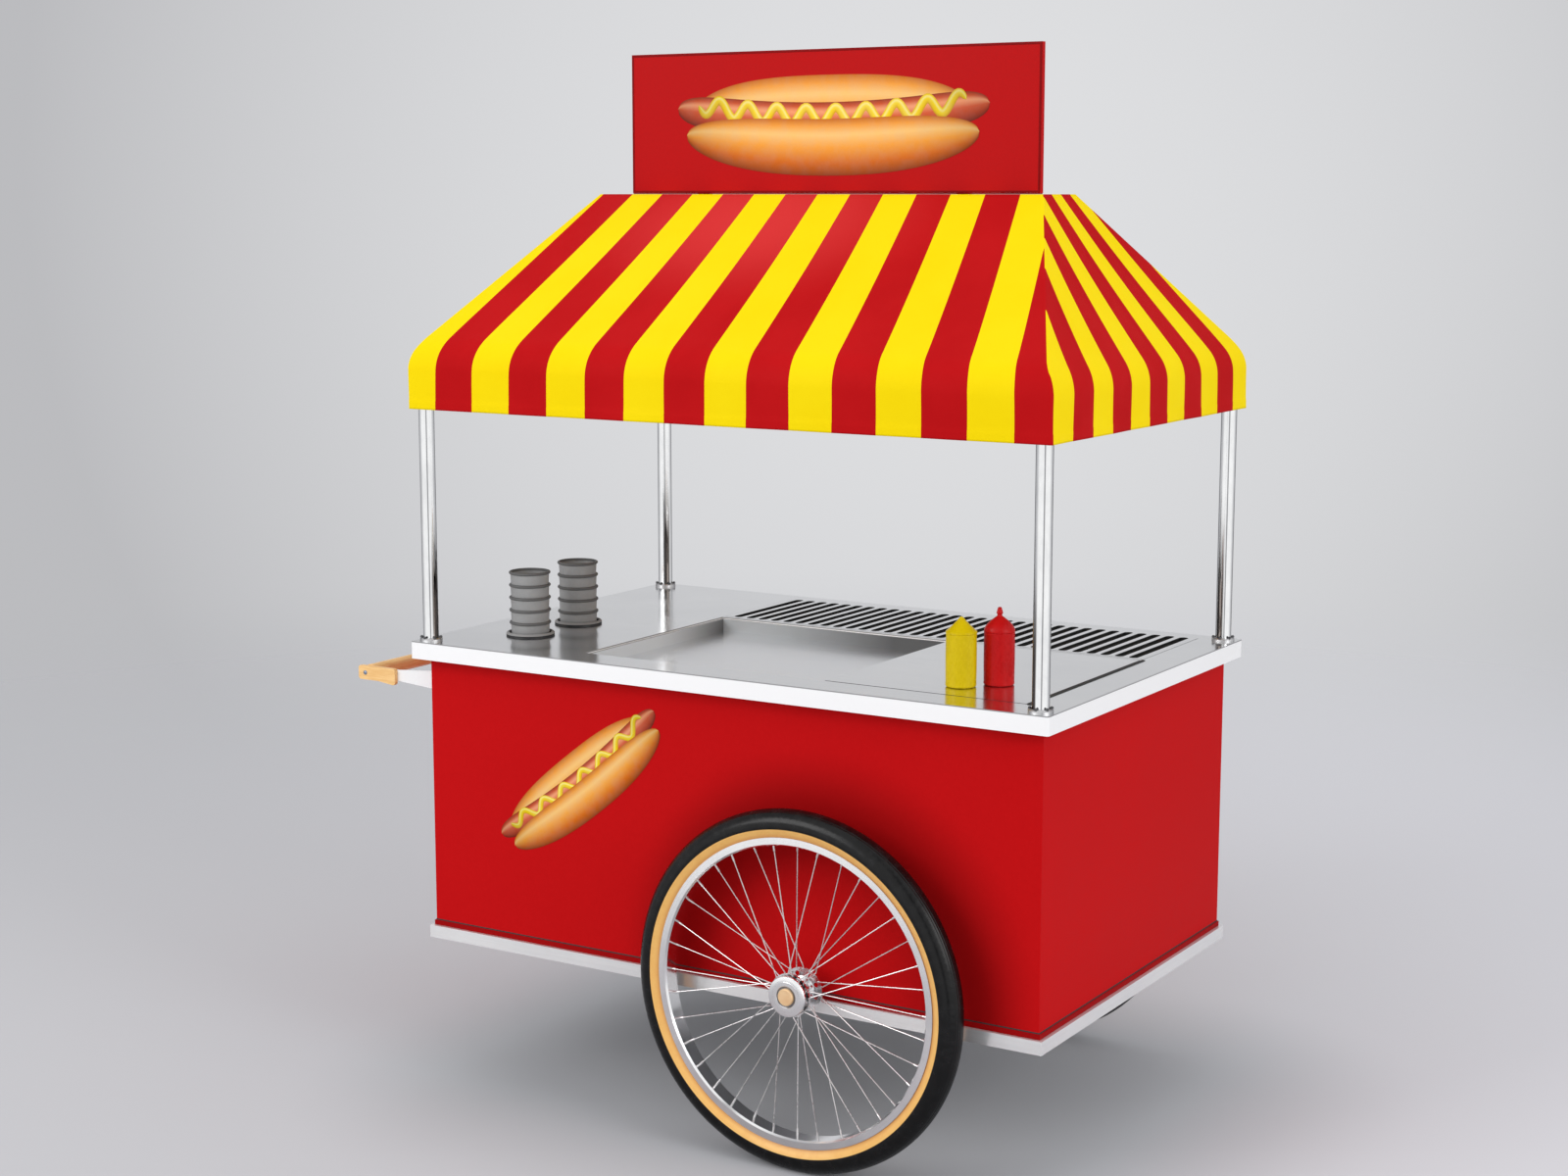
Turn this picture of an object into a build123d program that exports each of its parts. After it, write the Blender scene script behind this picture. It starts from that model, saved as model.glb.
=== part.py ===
from build123d import *
import math
import os

os.makedirs("parts", exist_ok=True)

# Hot dog cart. X runs along its length, the customer's side faces -Y, the vendor's side +Y, the floor is Z 0.
# Sizes are in millimetres. Pieces are drawn about the middle of the worktop and shifted at the end.

# Worktop, a folded stainless tray turned upside down
WORKTOP_L = 1440.0
WORKTOP_W = 910.0
WORKTOP_Z = 925.0
WORKTOP_EDGE = 36.0
WORKTOP_CORNER = 5.0
SKIN = 3.0
LIP_T = 2.0

# Plates let flush into the worktop and the pans under them
SEAT_GAP = 0.2
PAN_FLANGE_W = 4.5
PAN_FLANGE_T = 3.0
LEDGE_W = 6.0
PAN_WALL = 2.0
WELL_LEFT = 382.0
WELL_RIGHT = 80.0
WELL_FRONT = 77.0
WELL_DEPTH = 28.0
WELL_BRIDGE = 10.0
LID_L = 419.0
LID_GAP = 3.0
GRILL_W = 281.0
GRILL_BACK = 38.0
GRILL_GAP = 1.0
GRILL_BOX_H = 95.0
SLOT_COUNT = 31
SLOT_W = 19.0
SLOT_BORDER = 6.0
SLOT_MARGIN = 17.0

# Cabinet of flat sheets on four corner posts, set in from the worktop's edge
END_OVERHANG = 25.0
SIDE_OVERHANG = 34.0
SHEET = 3.0
POST = 24.0
POST_WALL = 2.5

# Base frame, a channel ring that shows as the bright band under the cabinet
BASE_DROP = 54.0
BASE_T = 26.0
BASE_OUT = 10.0
CHANNEL_W = 60.0
CHANNEL_T = 3.0
CROSS_W = 60.0
CROSS_INSET = 275.0
FLOOR_T = 3.0

# Axle and spoked wheels
AXLE_INSET = 471.0
WHEEL_R = 350.0
WHEEL_OUT = 66.0
AXLE_R = 12.5
JOURNAL_R = 10.0
RUN_GAP = 0.05
SIDE_GAP = 0.3
PANEL_HOLE_GAP = 1.0
BLOCK_L = 110.0
BLOCK_W = 36.0
BLOCK_FOOT = 10.0
BLOCK_WALL = 9.0
TYRE_H = 56.0
TYRE_HALF = 18.0
TYRE_SHOULDER_H = 20.0
TYRE_SHOULDER_HALF = 26.5
RIM_T = 11.0
RIM_LIP = 5.0
RIM_LIP_T = 1.8
RIM_IN_HALF = 16.0
RIM_BEVEL = 3.0
BEAD_GAP = 0.2
SPOKE_R = 1.1
SPOKES_PER_SET = 9
SPOKE_LEAN = 20.0
SPOKE_CIRCLE_R = 38.0
SPOKE_IN_RIM = 3.0
SPOKE_RIM_Y = 3.0
SPOKE_SIDES = 6
HUB_HALF = 37.0
HUB_BARREL_R = 25.0
HUB_WAIST_R = 22.5
HUB_BORE_R = 16.0
HUB_FLANGE_R = 42.0
HUB_FLANGE_Y = 24.0
HUB_FLANGE_T = 4.0
HUB_HOLES = 8
HUB_HOLE_R = 4.5
HUB_HOLE_CIRCLE_R = 31.6
BEARING_R = 21.0
BEARING_W = 12.0
CAP_R = 16.5
CAP_T = 5.5
CAP_BEVEL = 2.0
CAP_GRIP = 3.5

# Vendor's side: one door beside the wheel, its hinges and pull, and two gas knobs
DOOR_LEFT = 30.0
DOOR_WHEEL_GAP = 39.0
DOOR_LOW = 18.0
DOOR_HIGH = 142.0
DOOR_T = 18.0
DOOR_SHEET = 2.0
DOOR_LAP = 15.0
DOOR_GAP = 0.5
HINGE_R = 6.5
HINGE_PIN_R = 3.0
HINGE_H = 50.0
HINGE_INSET = 60.0
HINGE_LEAF_W = 36.0
HINGE_LEAF_T = 3.5
HINGE_EDGE = 7.0
HINGE_STRAP_T = 3.0
PULL_R = 5.0
PULL_L = 130.0
PULL_OUT = 34.0
PULL_BEND = 12.0
PULL_INSET = 42.0
KNOB_DROP = 93.0
KNOB_R = 23.0
KNOB_T = 26.0
KNOB_SKIRT_T = 6.0
KNOB_BEVEL = 2.0
KNOB_RIB_W = 12.0
KNOB_RIB_L = 37.0
KNOB_RIB_ROUND = 4.0
KNOB_STAND = 3.0
SPINDLE_R = 4.0
SPINDLE_IN = 24.0

# Gas pipes and burners under the grill
VALVE_R = 13.0
VALVE_L = 44.0
MANIFOLD_R = 10.0
MANIFOLD_DROP = 26.0
MANIFOLD_BACK = 26.0
MANIFOLD_END = 60.0
INLET_R = 6.0
INLET_L = 30.0
BURNER_R = 16.0
BURNER_LIFT = 42.0
BURNER_END_GAP = 29.5
BURNER_FOOT_W = 20.0
BURNER_FOOT_T = 3.0
RISER_R = 8.0
RISER_GAP = 0.3

# Cup stacks standing in two wells
CUP_LEFT = 163.0
CUP_FRONT = 189.0
CUP_SPACING = 167.0
CUPS = 5
CUP_PITCH = 26.0
CUP_H = 112.0
CUP_RIM_R = 43.0
CUP_RIM_T = 4.0
CUP_TOP_R = 41.5
CUP_BASE_R = 34.0
CUP_NEST_GAP = 0.4
CUP_FLOOR = 3.0
CUP_FIRST_RIM = 30.0
CUP_STAND = 0.3
CUP_WELL_CLEAR = 1.5
CUP_WELL_WALL = 1.5
CUP_WELL_GAP = 0.5
CUP_WELL_FLANGE = 3.5
GASKET_W = 5.5
GASKET_H = 6.0
GASKET_ROUND = 2.5

# Squeeze bottles standing on the well's lid
BOTTLE_R = 29.0
BOTTLE_H = 100.0
BOTTLE_STAND = 0.3
BOTTLE_EDGE = 4.0
YELLOW_ALONG = 244.0
YELLOW_ACROSS = 85.0
RED_ALONG = 296.0
RED_ACROSS = 138.0
CONE_LIP = 6.0
CONE_OVER = 1.0
CONE_H = 31.0
TIP_R = 3.0
DOME_H = 26.0
DOME_MID_R = 22.5
DOME_MID_H = 16.0
NOZZLE_R = 8.0
NOZZLE_H = 20.0

# Canopy: poles, tube frame and striped cloth
POLE_INSET = 30.0
POLE_R = 16.0
POLE_WALL = 2.0
POLE_FLANGE_R = 23.0
POLE_FLANGE_T = 6.0
POLE_FLANGE_BEVEL = 2.0
HEM_INSET_X = 5.0
HEM_INSET_Y = 3.0
HEM_RISE = 475.0
VALANCE = 78.0
SHOULDER_R = 85.0
ROOF_H = 427.0
ROOF_RUN_X = 207.0
ROOF_RUN_Y = 380.0
CLOTH_T = 4.0
CLOTH_GAP = 0.3
EAVE_TUBE = 25.0
EAVE_LIFT = 40.0
TOP_TUBE = 20.0
TOP_INSET = 6.0
RAFTER_R = 8.0
SIGN_INSET = 38.0
SIGN_H = 282.0
SIGN_T = 12.0
SIGN_LIFT = 2.0
SIGN_POST_INSET = 170.0
SIGN_POST_W = 30.0
SIGN_POST_T = 8.0
SIGN_POST_DOWN = 84.0
SLIT_GAP = 0.5

# Push handle at the left end
HANDLE_INSET = 23.0
HANDLE_DROP = 53.0
HANDLE_REACH = 205.0
ARM_T = 8.0
ARM_H = 38.0
ARM_END_H = 22.0
ARM_FOOT = 46.0
ARM_FOOT_T = 4.0
CHEEK_L = 98.0
CHEEK_T = 9.0
CHEEK_H = 29.5
CHEEK_FLARE = 6.0
CHEEK_FLARE_L = 46.0
CHEEK_ROUND = 6.0
GRIP_W = 26.0
GRIP_H = 30.0
GRIP_INSET = 6.0
GRIP_ROUND = 12.0

# Drop leg under the vendor's left corner
LEG_INSET_X = 73.0
LEG_INSET_Y = 25.0
LEG_DROP = 28.0
LEG_SPLAY = 36.0
LEG_TUBE = 28.0
LEG_TUBE_WALL = 2.5
LEG_PIN_R = 5.0
EAR_T = 5.0
EAR_GAP = 0.6
EAR_W = 36.0
EAR_FOOT_T = 4.0
EAR_FOOT_L = 90.0
EAR_FOOT_W = 70.0
FOOT_R = 22.0
FOOT_H = 14.0
FOOT_BEVEL = 3.5

# Heights, from the floor up
BASE_Z = WHEEL_R - BASE_DROP
CABINET_Z0 = BASE_Z + BASE_T
CABINET_Z1 = WORKTOP_Z - WORKTOP_EDGE
UNDER_SKIN = WORKTOP_Z - SKIN
PAN_FLANGE_Z = UNDER_SKIN - PAN_FLANGE_T
PLATE_Z = UNDER_SKIN + SEAT_GAP
GRILL_BOX_Z = WORKTOP_Z - GRILL_BOX_H
BURNER_Z = GRILL_BOX_Z + BURNER_LIFT
KNOB_Z = CABINET_Z1 - KNOB_DROP
DOOR_Z0 = CABINET_Z0 + DOOR_LOW
DOOR_Z1 = CABINET_Z1 - DOOR_HIGH
HANDLE_Z = CABINET_Z1 - HANDLE_DROP
HEM_Z = WORKTOP_Z + HEM_RISE
EAVE_Z = HEM_Z + EAVE_LIFT
SHOULDER_Z = HEM_Z + VALANCE
TOP_Z = HEM_Z + ROOF_H
LEG_PIVOT_Z = BASE_Z - LEG_DROP

# Lengths and places that follow from the worktop's outline
HALF_L = WORKTOP_L / 2 - END_OVERHANG
HALF_W = WORKTOP_W / 2 - SIDE_OVERHANG
LIP_W = SIDE_OVERHANG + SHEET
WELL_X0 = -WORKTOP_L / 2 + WELL_LEFT
WELL_X1 = WORKTOP_L / 2 - WELL_RIGHT
WELL_Y0 = -WORKTOP_W / 2 + WELL_FRONT
GRILL_Y1 = WORKTOP_W / 2 - GRILL_BACK
GRILL_Y0 = GRILL_Y1 - GRILL_W
WELL_Y1 = GRILL_Y0 - WELL_BRIDGE
WELL_MID = (WELL_X0 + WELL_X1) / 2
WELL_L = WELL_X1 - WELL_X0
LID_X0 = WELL_X1 - LID_GAP - LID_L
YELLOW_X = LID_X0 + YELLOW_ALONG
YELLOW_Y = WELL_Y0 + YELLOW_ACROSS
RED_X = LID_X0 + RED_ALONG
RED_Y = WELL_Y0 + RED_ACROSS
SLOT_PITCH = (WELL_L - 2 * SLOT_MARGIN - SLOT_W) / (SLOT_COUNT - 1)
KNOB_X = (WELL_MID - WELL_L / 4, WELL_MID + WELL_L / 4)
BURNER_Y = (GRILL_Y0 + GRILL_Y1) / 2
BURNER_HALF = WELL_L / 4 - BURNER_END_GAP
MANIFOLD_Y = HALF_W - SHEET - MANIFOLD_BACK
CUP_X = -WORKTOP_L / 2 + CUP_LEFT
CUP_Y = (-WORKTOP_W / 2 + CUP_FRONT, -WORKTOP_W / 2 + CUP_FRONT + CUP_SPACING)
CUP_SLOPE = (CUP_TOP_R - CUP_BASE_R) / CUP_H
CUP_WALL = CUP_PITCH * CUP_SLOPE - CUP_NEST_GAP
CUP_WELL_R = CUP_RIM_R + CUP_WELL_CLEAR
CUP_WELL_OUT_R = CUP_WELL_R + CUP_WELL_WALL
AXLE_X = HALF_L - AXLE_INSET
WHEEL_Y = HALF_W + WHEEL_OUT
HUB_IN_Y = WHEEL_Y - HUB_HALF
HUB_OUT_Y = WHEEL_Y + HUB_HALF
RIM_SEAT_R = WHEEL_R - TYRE_H
RIM_IN_R = RIM_SEAT_R - RIM_T
CROSS_X = (-HALF_L + CROSS_INSET, AXLE_X)
DOOR_X0 = -HALF_L + DOOR_LEFT
DOOR_X1 = AXLE_X - WHEEL_R - DOOR_WHEEL_GAP
HINGE_X = DOOR_X0 - HINGE_EDGE
HINGE_Y = HALF_W + DOOR_GAP + DOOR_T / 2
POLE_X = WORKTOP_L / 2 - POLE_INSET
POLE_Y = WORKTOP_W / 2 - POLE_INSET
HEM_HALF_X = WORKTOP_L / 2 - HEM_INSET_X
HEM_HALF_Y = WORKTOP_W / 2 - HEM_INSET_Y
TOP_HALF_X = HEM_HALF_X - ROOF_RUN_X
TOP_HALF_Y = HEM_HALF_Y - ROOF_RUN_Y
SIGN_L = 2 * (TOP_HALF_X - SIGN_INSET)
SIGN_POST_X = SIGN_L / 2 - SIGN_POST_INSET
HANDLE_Y = HALF_W - HANDLE_INSET
HANDLE_END = -HALF_L - HANDLE_REACH
LEG_X = -HALF_L + LEG_INSET_X
LEG_Y = HALF_W - LEG_INSET_Y
LEG_FOOT_X = LEG_X - LEG_SPLAY
LEG_EYE_R = LEG_TUBE / 2
SHIFT_X = -(HANDLE_END + WORKTOP_L / 2) / 2


def block(low, high):
    """Box between two opposite corners."""
    size = [b - a for a, b in zip(low, high)]
    middle = [(a + b) / 2 for a, b in zip(low, high)]
    return Pos(*middle) * Box(*size)


def rod(start, end, radius):
    """Round bar from one point to another."""
    along = Vector(*end) - Vector(*start)
    return Plane(origin=start, z_dir=along) * Cylinder(
        radius, along.length, align=(Align.CENTER, Align.CENTER, Align.MIN)
    )


def prism(start, end, radius, sides):
    """Straight bar of regular section from one point to another."""
    along = Vector(*end) - Vector(*start)
    section = Plane(origin=start, z_dir=along) * RegularPolygon(radius, sides)
    return extrude(section, along.length, dir=along.normalized())


def turned_z(points, x, y):
    """Solid turned about an upright axis from points (radius, height)."""
    outline = Plane.XZ * make_face(Polyline(*points, close=True))
    return Pos(x, y, 0) * revolve(outline, Axis.Z)


def turned_y(points):
    """Solid turned about the Y axis from points (radius, distance along Y)."""
    return revolve(make_face(Polyline(*points, close=True)), Axis.Y)


def solids(*pieces):
    """Group of separate solids that share one node."""
    return Compound([solid for piece in pieces for solid in piece.solids()])


def both_ends(piece):
    """The piece and its copy turned half round the upright axis."""
    return solids(piece, Rot(0, 0, 180) * piece)


def worktop():
    """Upside-down tray with a returned lip, two rectangular openings and two cup holes."""
    half_l, half_w = WORKTOP_L / 2, WORKTOP_W / 2
    tray = block((-half_l, -half_w, CABINET_Z1), (half_l, half_w, WORKTOP_Z))
    tray = fillet(tray.edges().filter_by(Axis.Z), WORKTOP_CORNER)
    tray -= block(
        (-half_l + SKIN, -half_w + SKIN, CABINET_Z1 + LIP_T), (half_l - SKIN, half_w - SKIN, UNDER_SKIN)
    )
    tray -= block(
        (-half_l + LIP_W, -half_w + LIP_W, CABINET_Z1), (half_l - LIP_W, half_w - LIP_W, CABINET_Z1 + LIP_T)
    )
    tray -= block((WELL_X0, WELL_Y0, UNDER_SKIN), (WELL_X1, WELL_Y1, WORKTOP_Z))
    tray -= block((WELL_X0, GRILL_Y0, UNDER_SKIN), (WELL_X1, GRILL_Y1, WORKTOP_Z))
    for y in CUP_Y:
        tray -= rod((CUP_X, y, UNDER_SKIN), (CUP_X, y, WORKTOP_Z), CUP_WELL_OUT_R + CUP_WELL_GAP)
    return tray


def sunk_pan(y0, y1, bottom):
    """Sheet pan under an opening: a flange below the skin whose inner edge is the ledge for a plate."""
    rim = block(
        (WELL_X0 - PAN_FLANGE_W, y0 - PAN_FLANGE_W, PAN_FLANGE_Z),
        (WELL_X1 + PAN_FLANGE_W, y1 + PAN_FLANGE_W, UNDER_SKIN),
    )
    body = block((WELL_X0 + LEDGE_W, y0 + LEDGE_W, bottom), (WELL_X1 - LEDGE_W, y1 - LEDGE_W, PAN_FLANGE_Z))
    inset = LEDGE_W + PAN_WALL
    hollow = block(
        (WELL_X0 + inset, y0 + inset, bottom + PAN_WALL), (WELL_X1 - inset, y1 - inset, UNDER_SKIN)
    )
    return rim + body - hollow


def well_pan():
    """Shallow sunken tray in the middle of the worktop."""
    return sunk_pan(WELL_Y0, WELL_Y1, WORKTOP_Z - WELL_DEPTH - PAN_WALL)


def well_lid():
    """Flush cover over the right part of the well, which slides to the left along the well's ledges."""
    return block(
        (LID_X0, WELL_Y0 + LID_GAP, PLATE_Z), (WELL_X1 - LID_GAP, WELL_Y1 - LID_GAP, PLATE_Z + SKIN)
    )


def grill_plate():
    """Loose plate with a row of long round-ended slots, lifted out for cleaning."""
    plate = block(
        (WELL_X0 + GRILL_GAP, GRILL_Y0 + GRILL_GAP, PLATE_Z),
        (WELL_X1 - GRILL_GAP, GRILL_Y1 - GRILL_GAP, PLATE_Z + SKIN),
    )
    slot_l = GRILL_Y1 - GRILL_Y0 - 2 * SLOT_BORDER
    places = Pos(WELL_MID, BURNER_Y, PLATE_Z) * GridLocations(SLOT_PITCH, 0, SLOT_COUNT, 1)
    slots = Sketch() + places * SlotOverall(slot_l, SLOT_W, rotation=90)
    return plate - extrude(slots, SKIN)


def grill_box():
    """Firebox under the grill plate, with a hole in its floor for each riser."""
    box = sunk_pan(GRILL_Y0, GRILL_Y1, GRILL_BOX_Z)
    for x in KNOB_X:
        low, high = (x, BURNER_Y, GRILL_BOX_Z), (x, BURNER_Y, GRILL_BOX_Z + PAN_WALL)
        box -= rod(low, high, RISER_R + RISER_GAP)
    return box


def burner(x):
    """Closed burner tube on two bent feet, with its riser going down and back to the valve."""
    tube = rod((x - BURNER_HALF, BURNER_Y, BURNER_Z), (x + BURNER_HALF, BURNER_Y, BURNER_Z), BURNER_R)
    for end in (-1, 1):
        foot_x = x + end * (BURNER_HALF - BURNER_FOOT_W)
        tube += block(
            (foot_x - BURNER_FOOT_W / 2, BURNER_Y - BURNER_FOOT_T / 2, GRILL_BOX_Z + PAN_WALL),
            (foot_x + BURNER_FOOT_W / 2, BURNER_Y + BURNER_FOOT_T / 2, BURNER_Z),
        )
    tube += rod((x, BURNER_Y, KNOB_Z), (x, BURNER_Y, BURNER_Z), RISER_R)
    tube += Pos(x, BURNER_Y, KNOB_Z) * Sphere(RISER_R)
    tube += rod((x, BURNER_Y, KNOB_Z), (x, HALF_W - SHEET - VALVE_L, KNOB_Z), RISER_R)
    return tube


def burners():
    """Two burners, one under each half of the grill."""
    return solids(*(burner(x) for x in KNOB_X))


def gas_manifold():
    """Feed pipe with a tap body for each knob and a plain inlet stub at its left end."""
    pipe_z = KNOB_Z - MANIFOLD_DROP
    x0, x1 = KNOB_X[0] - MANIFOLD_END, KNOB_X[-1] + MANIFOLD_END
    pipe = rod((x0, MANIFOLD_Y, pipe_z), (x1, MANIFOLD_Y, pipe_z), MANIFOLD_R)
    pipe += rod((x0 - INLET_L, MANIFOLD_Y, pipe_z), (x0, MANIFOLD_Y, pipe_z), INLET_R)
    back = HALF_W - SHEET
    for x in KNOB_X:
        pipe += rod((x, back - VALVE_L, KNOB_Z), (x, back, KNOB_Z), VALVE_R)
        pipe += rod((x, MANIFOLD_Y, pipe_z), (x, MANIFOLD_Y, KNOB_Z), INLET_R)
    for x in KNOB_X:
        pipe -= rod((x, back - SPINDLE_IN, KNOB_Z), (x, back, KNOB_Z), SPINDLE_R + RUN_GAP)
    return pipe


def knob(x):
    """Gas knob: skirt, ribbed grip and the spindle that turns in the tap."""
    face = HALF_W + KNOB_STAND
    grip_y = face + KNOB_SKIRT_T
    body = rod((x, face, KNOB_Z), (x, grip_y, KNOB_Z), KNOB_R)
    body = chamfer(body.edges().filter_by(GeomType.CIRCLE).sort_by(Axis.Y)[-1], KNOB_BEVEL)
    rib = block(
        (x - KNOB_RIB_W / 2, grip_y, KNOB_Z - KNOB_RIB_L / 2),
        (x + KNOB_RIB_W / 2, face + KNOB_T, KNOB_Z + KNOB_RIB_L / 2),
    )
    body += fillet(rib.edges().filter_by(Axis.Y), KNOB_RIB_ROUND)
    return body + rod((x, HALF_W - SHEET - SPINDLE_IN + SIDE_GAP, KNOB_Z), (x, face, KNOB_Z), SPINDLE_R)


def axle_hole(y0, y1):
    """Clearance hole for the axle through a sheet."""
    return rod((AXLE_X, y0, WHEEL_R), (AXLE_X, y1, WHEEL_R), AXLE_R + PANEL_HOLE_GAP)


def front_panel():
    """Plain red sheet on the customer's side."""
    sheet = block((-HALF_L, -HALF_W, CABINET_Z0), (HALF_L, -HALF_W + SHEET, CABINET_Z1))
    return sheet - axle_hole(-HALF_W, -HALF_W + SHEET)


def back_panel():
    """Sheet on the vendor's side with the door's opening, the axle hole and a hole for each spindle."""
    y0, y1 = HALF_W - SHEET, HALF_W
    sheet = block((-HALF_L, y0, CABINET_Z0), (HALF_L, y1, CABINET_Z1)) - axle_hole(y0, y1)
    sheet -= block(
        (DOOR_X0 + DOOR_LAP, y0, DOOR_Z0 + DOOR_LAP), (DOOR_X1 - DOOR_LAP, y1, DOOR_Z1 - DOOR_LAP)
    )
    for x in KNOB_X:
        sheet -= rod((x, y0, KNOB_Z), (x, y1, KNOB_Z), SPINDLE_R + PANEL_HOLE_GAP)
    return sheet


def end_panel(side):
    """Sheet between the front and back panels at one end."""
    inner, outer = sorted((side * (HALF_L - SHEET), side * HALF_L))
    return block((inner, -HALF_W + SHEET, CABINET_Z0), (outer, HALF_W - SHEET, CABINET_Z1))


def corner_posts():
    """Angle posts in the four corners, standing on the cabinet's floor."""
    x1, y1 = HALF_L - SHEET, HALF_W - SHEET
    low, high = CABINET_Z0 + FLOOR_T, CABINET_Z1
    angle = block((x1 - POST, y1 - POST, low), (x1, y1, high))
    angle -= block((x1 - POST, y1 - POST, low), (x1 - POST_WALL, y1 - POST_WALL, high))
    return solids(both_ends(angle), both_ends(mirror(angle, Plane.YZ)))


def base_frame():
    """Channel ring with its open side inwards and two flat cross tubes between its flanges."""
    x1, y1 = HALF_L + BASE_OUT, HALF_W + BASE_OUT
    top = CABINET_Z0
    ring = block((-x1, -y1, BASE_Z), (x1, y1, top))
    ring -= block((-x1 + CHANNEL_W, -y1 + CHANNEL_W, BASE_Z), (x1 - CHANNEL_W, y1 - CHANNEL_W, top))
    inside_y = y1 - CHANNEL_T
    low, high = BASE_Z + CHANNEL_T, top - CHANNEL_T
    ring -= block((-x1 + CHANNEL_T, -inside_y, low), (x1 - CHANNEL_T, inside_y, high))
    for x in CROSS_X:
        half = CROSS_W / 2
        tube = block((x - half, -inside_y, low), (x + half, inside_y, high))
        half -= CHANNEL_T
        tube -= block((x - half, -inside_y, low + CHANNEL_T), (x + half, inside_y, high - CHANNEL_T))
        ring += tube
    return ring


def cabinet_floor():
    """Sheet that closes the cabinet's bottom."""
    x1, y1 = HALF_L - SHEET, HALF_W - SHEET
    return block((-x1, -y1, CABINET_Z0), (x1, y1, CABINET_Z0 + FLOOR_T))


def axle():
    """Shaft across the cart with a thinner journal at each end."""
    end = HUB_OUT_Y + CAP_GRIP
    shoulder = HUB_IN_Y - SIDE_GAP
    shaft = turned_y([(0, -end), (JOURNAL_R, -end), (JOURNAL_R, -shoulder), (AXLE_R, -shoulder),
                      (AXLE_R, shoulder), (JOURNAL_R, shoulder), (JOURNAL_R, end), (0, end)])
    return Pos(AXLE_X, 0, WHEEL_R) * shaft


def axle_block():
    """Pillow block on the cabinet's floor, close to the front panel."""
    foot_z = CABINET_Z0 + FLOOR_T
    y1 = -HALF_W + SHEET
    outline = Pos(0, (foot_z - WHEEL_R + BLOCK_FOOT / 2)) * Rectangle(BLOCK_L, BLOCK_FOOT)
    outline += Circle(AXLE_R + BLOCK_WALL)
    neck_h = WHEEL_R - foot_z
    outline += Pos(0, -neck_h / 2) * Rectangle(2 * (AXLE_R + BLOCK_WALL), neck_h)
    outline -= Circle(AXLE_R)
    return Pos(AXLE_X, y1 + BLOCK_W, WHEEL_R) * extrude(Plane.XZ * outline, BLOCK_W)


def axle_blocks():
    """The pair of pillow blocks."""
    front = axle_block()
    return solids(front, mirror(front, Plane.XZ))


def axle_cap():
    """Bevelled cap pressed on the back journal's end outside the wheel."""
    face = HUB_OUT_Y + SIDE_GAP
    seat = HUB_OUT_Y + CAP_GRIP
    end = face + CAP_T
    cap = turned_y(
        [(0, seat), (JOURNAL_R, seat), (JOURNAL_R, face), (CAP_R, face), (CAP_R, end - CAP_BEVEL),
         (CAP_R - CAP_BEVEL, end), (0, end)]
    )
    return Pos(AXLE_X, 0, WHEEL_R) * cap


def axle_caps():
    """The pair of caps."""
    back = axle_cap()
    return solids(back, mirror(back, Plane.XZ))


def tyre():
    """Balloon section with a straight bead between the rim's lips and a round crown."""
    lip_r = RIM_SEAT_R + RIM_LIP + SIDE_GAP
    shoulder_r = RIM_SEAT_R + TYRE_SHOULDER_H
    side = [(RIM_SEAT_R, TYRE_HALF), (lip_r, TYRE_HALF), (shoulder_r, TYRE_SHOULDER_HALF)]
    other = [(r, -y) for r, y in reversed(side)]
    outline = [
        Polyline(*side),
        ThreePointArc(side[-1], (WHEEL_R, 0), other[0]),
        Polyline(*other, side[0]),
    ]
    return revolve(make_face(outline), Axis.Y)


def rim():
    """Pressed rim: a seat between two lips, with bevelled sides towards the hub."""
    inner = TYRE_HALF + BEAD_GAP
    outer = inner + RIM_LIP_T
    lip_r = RIM_SEAT_R + RIM_LIP
    side = [
        (RIM_IN_R, RIM_IN_HALF), (RIM_IN_R + RIM_BEVEL, outer), (lip_r, outer), (lip_r, inner),
        (RIM_SEAT_R, inner),
    ]
    return turned_y(side + [(r, -y) for r, y in reversed(side)])


def spoke(side, turn, lean):
    """One spoke with its elbow through the hub flange, leaning one way or the other to the rim."""
    offset = HUB_FLANGE_T / 2 + SPOKE_R + BEAD_GAP
    y_hub = side * HUB_FLANGE_Y + lean * side * offset
    y_head = side * HUB_FLANGE_Y - lean * side * offset
    hub_turn = math.radians(turn - lean * SPOKE_LEAN)
    rim_turn = math.radians(turn)
    hub_x, hub_z = SPOKE_CIRCLE_R * math.cos(hub_turn), SPOKE_CIRCLE_R * math.sin(hub_turn)
    rim_r = RIM_IN_R + SPOKE_IN_RIM
    end = (rim_r * math.cos(rim_turn), side * SPOKE_RIM_Y, rim_r * math.sin(rim_turn))
    elbow = prism((hub_x, y_head, hub_z), (hub_x, y_hub + lean * side * SPOKE_R, hub_z), SPOKE_R, SPOKE_SIDES)
    return elbow + prism((hub_x, y_hub, hub_z), end, SPOKE_R, SPOKE_SIDES)


def spokes():
    """Four sets of spokes laced one-cross: leading and trailing on each flange."""
    step = 360 / SPOKES_PER_SET
    pieces = []
    for side in (-1, 1):
        for lean in (-1, 1):
            start = (side + 1) / 2 * step / 4 + (lean + 1) / 2 * step / 2
            pieces += [spoke(side, start + k * step, lean) for k in range(SPOKES_PER_SET)]
    return solids(*pieces)


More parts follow.
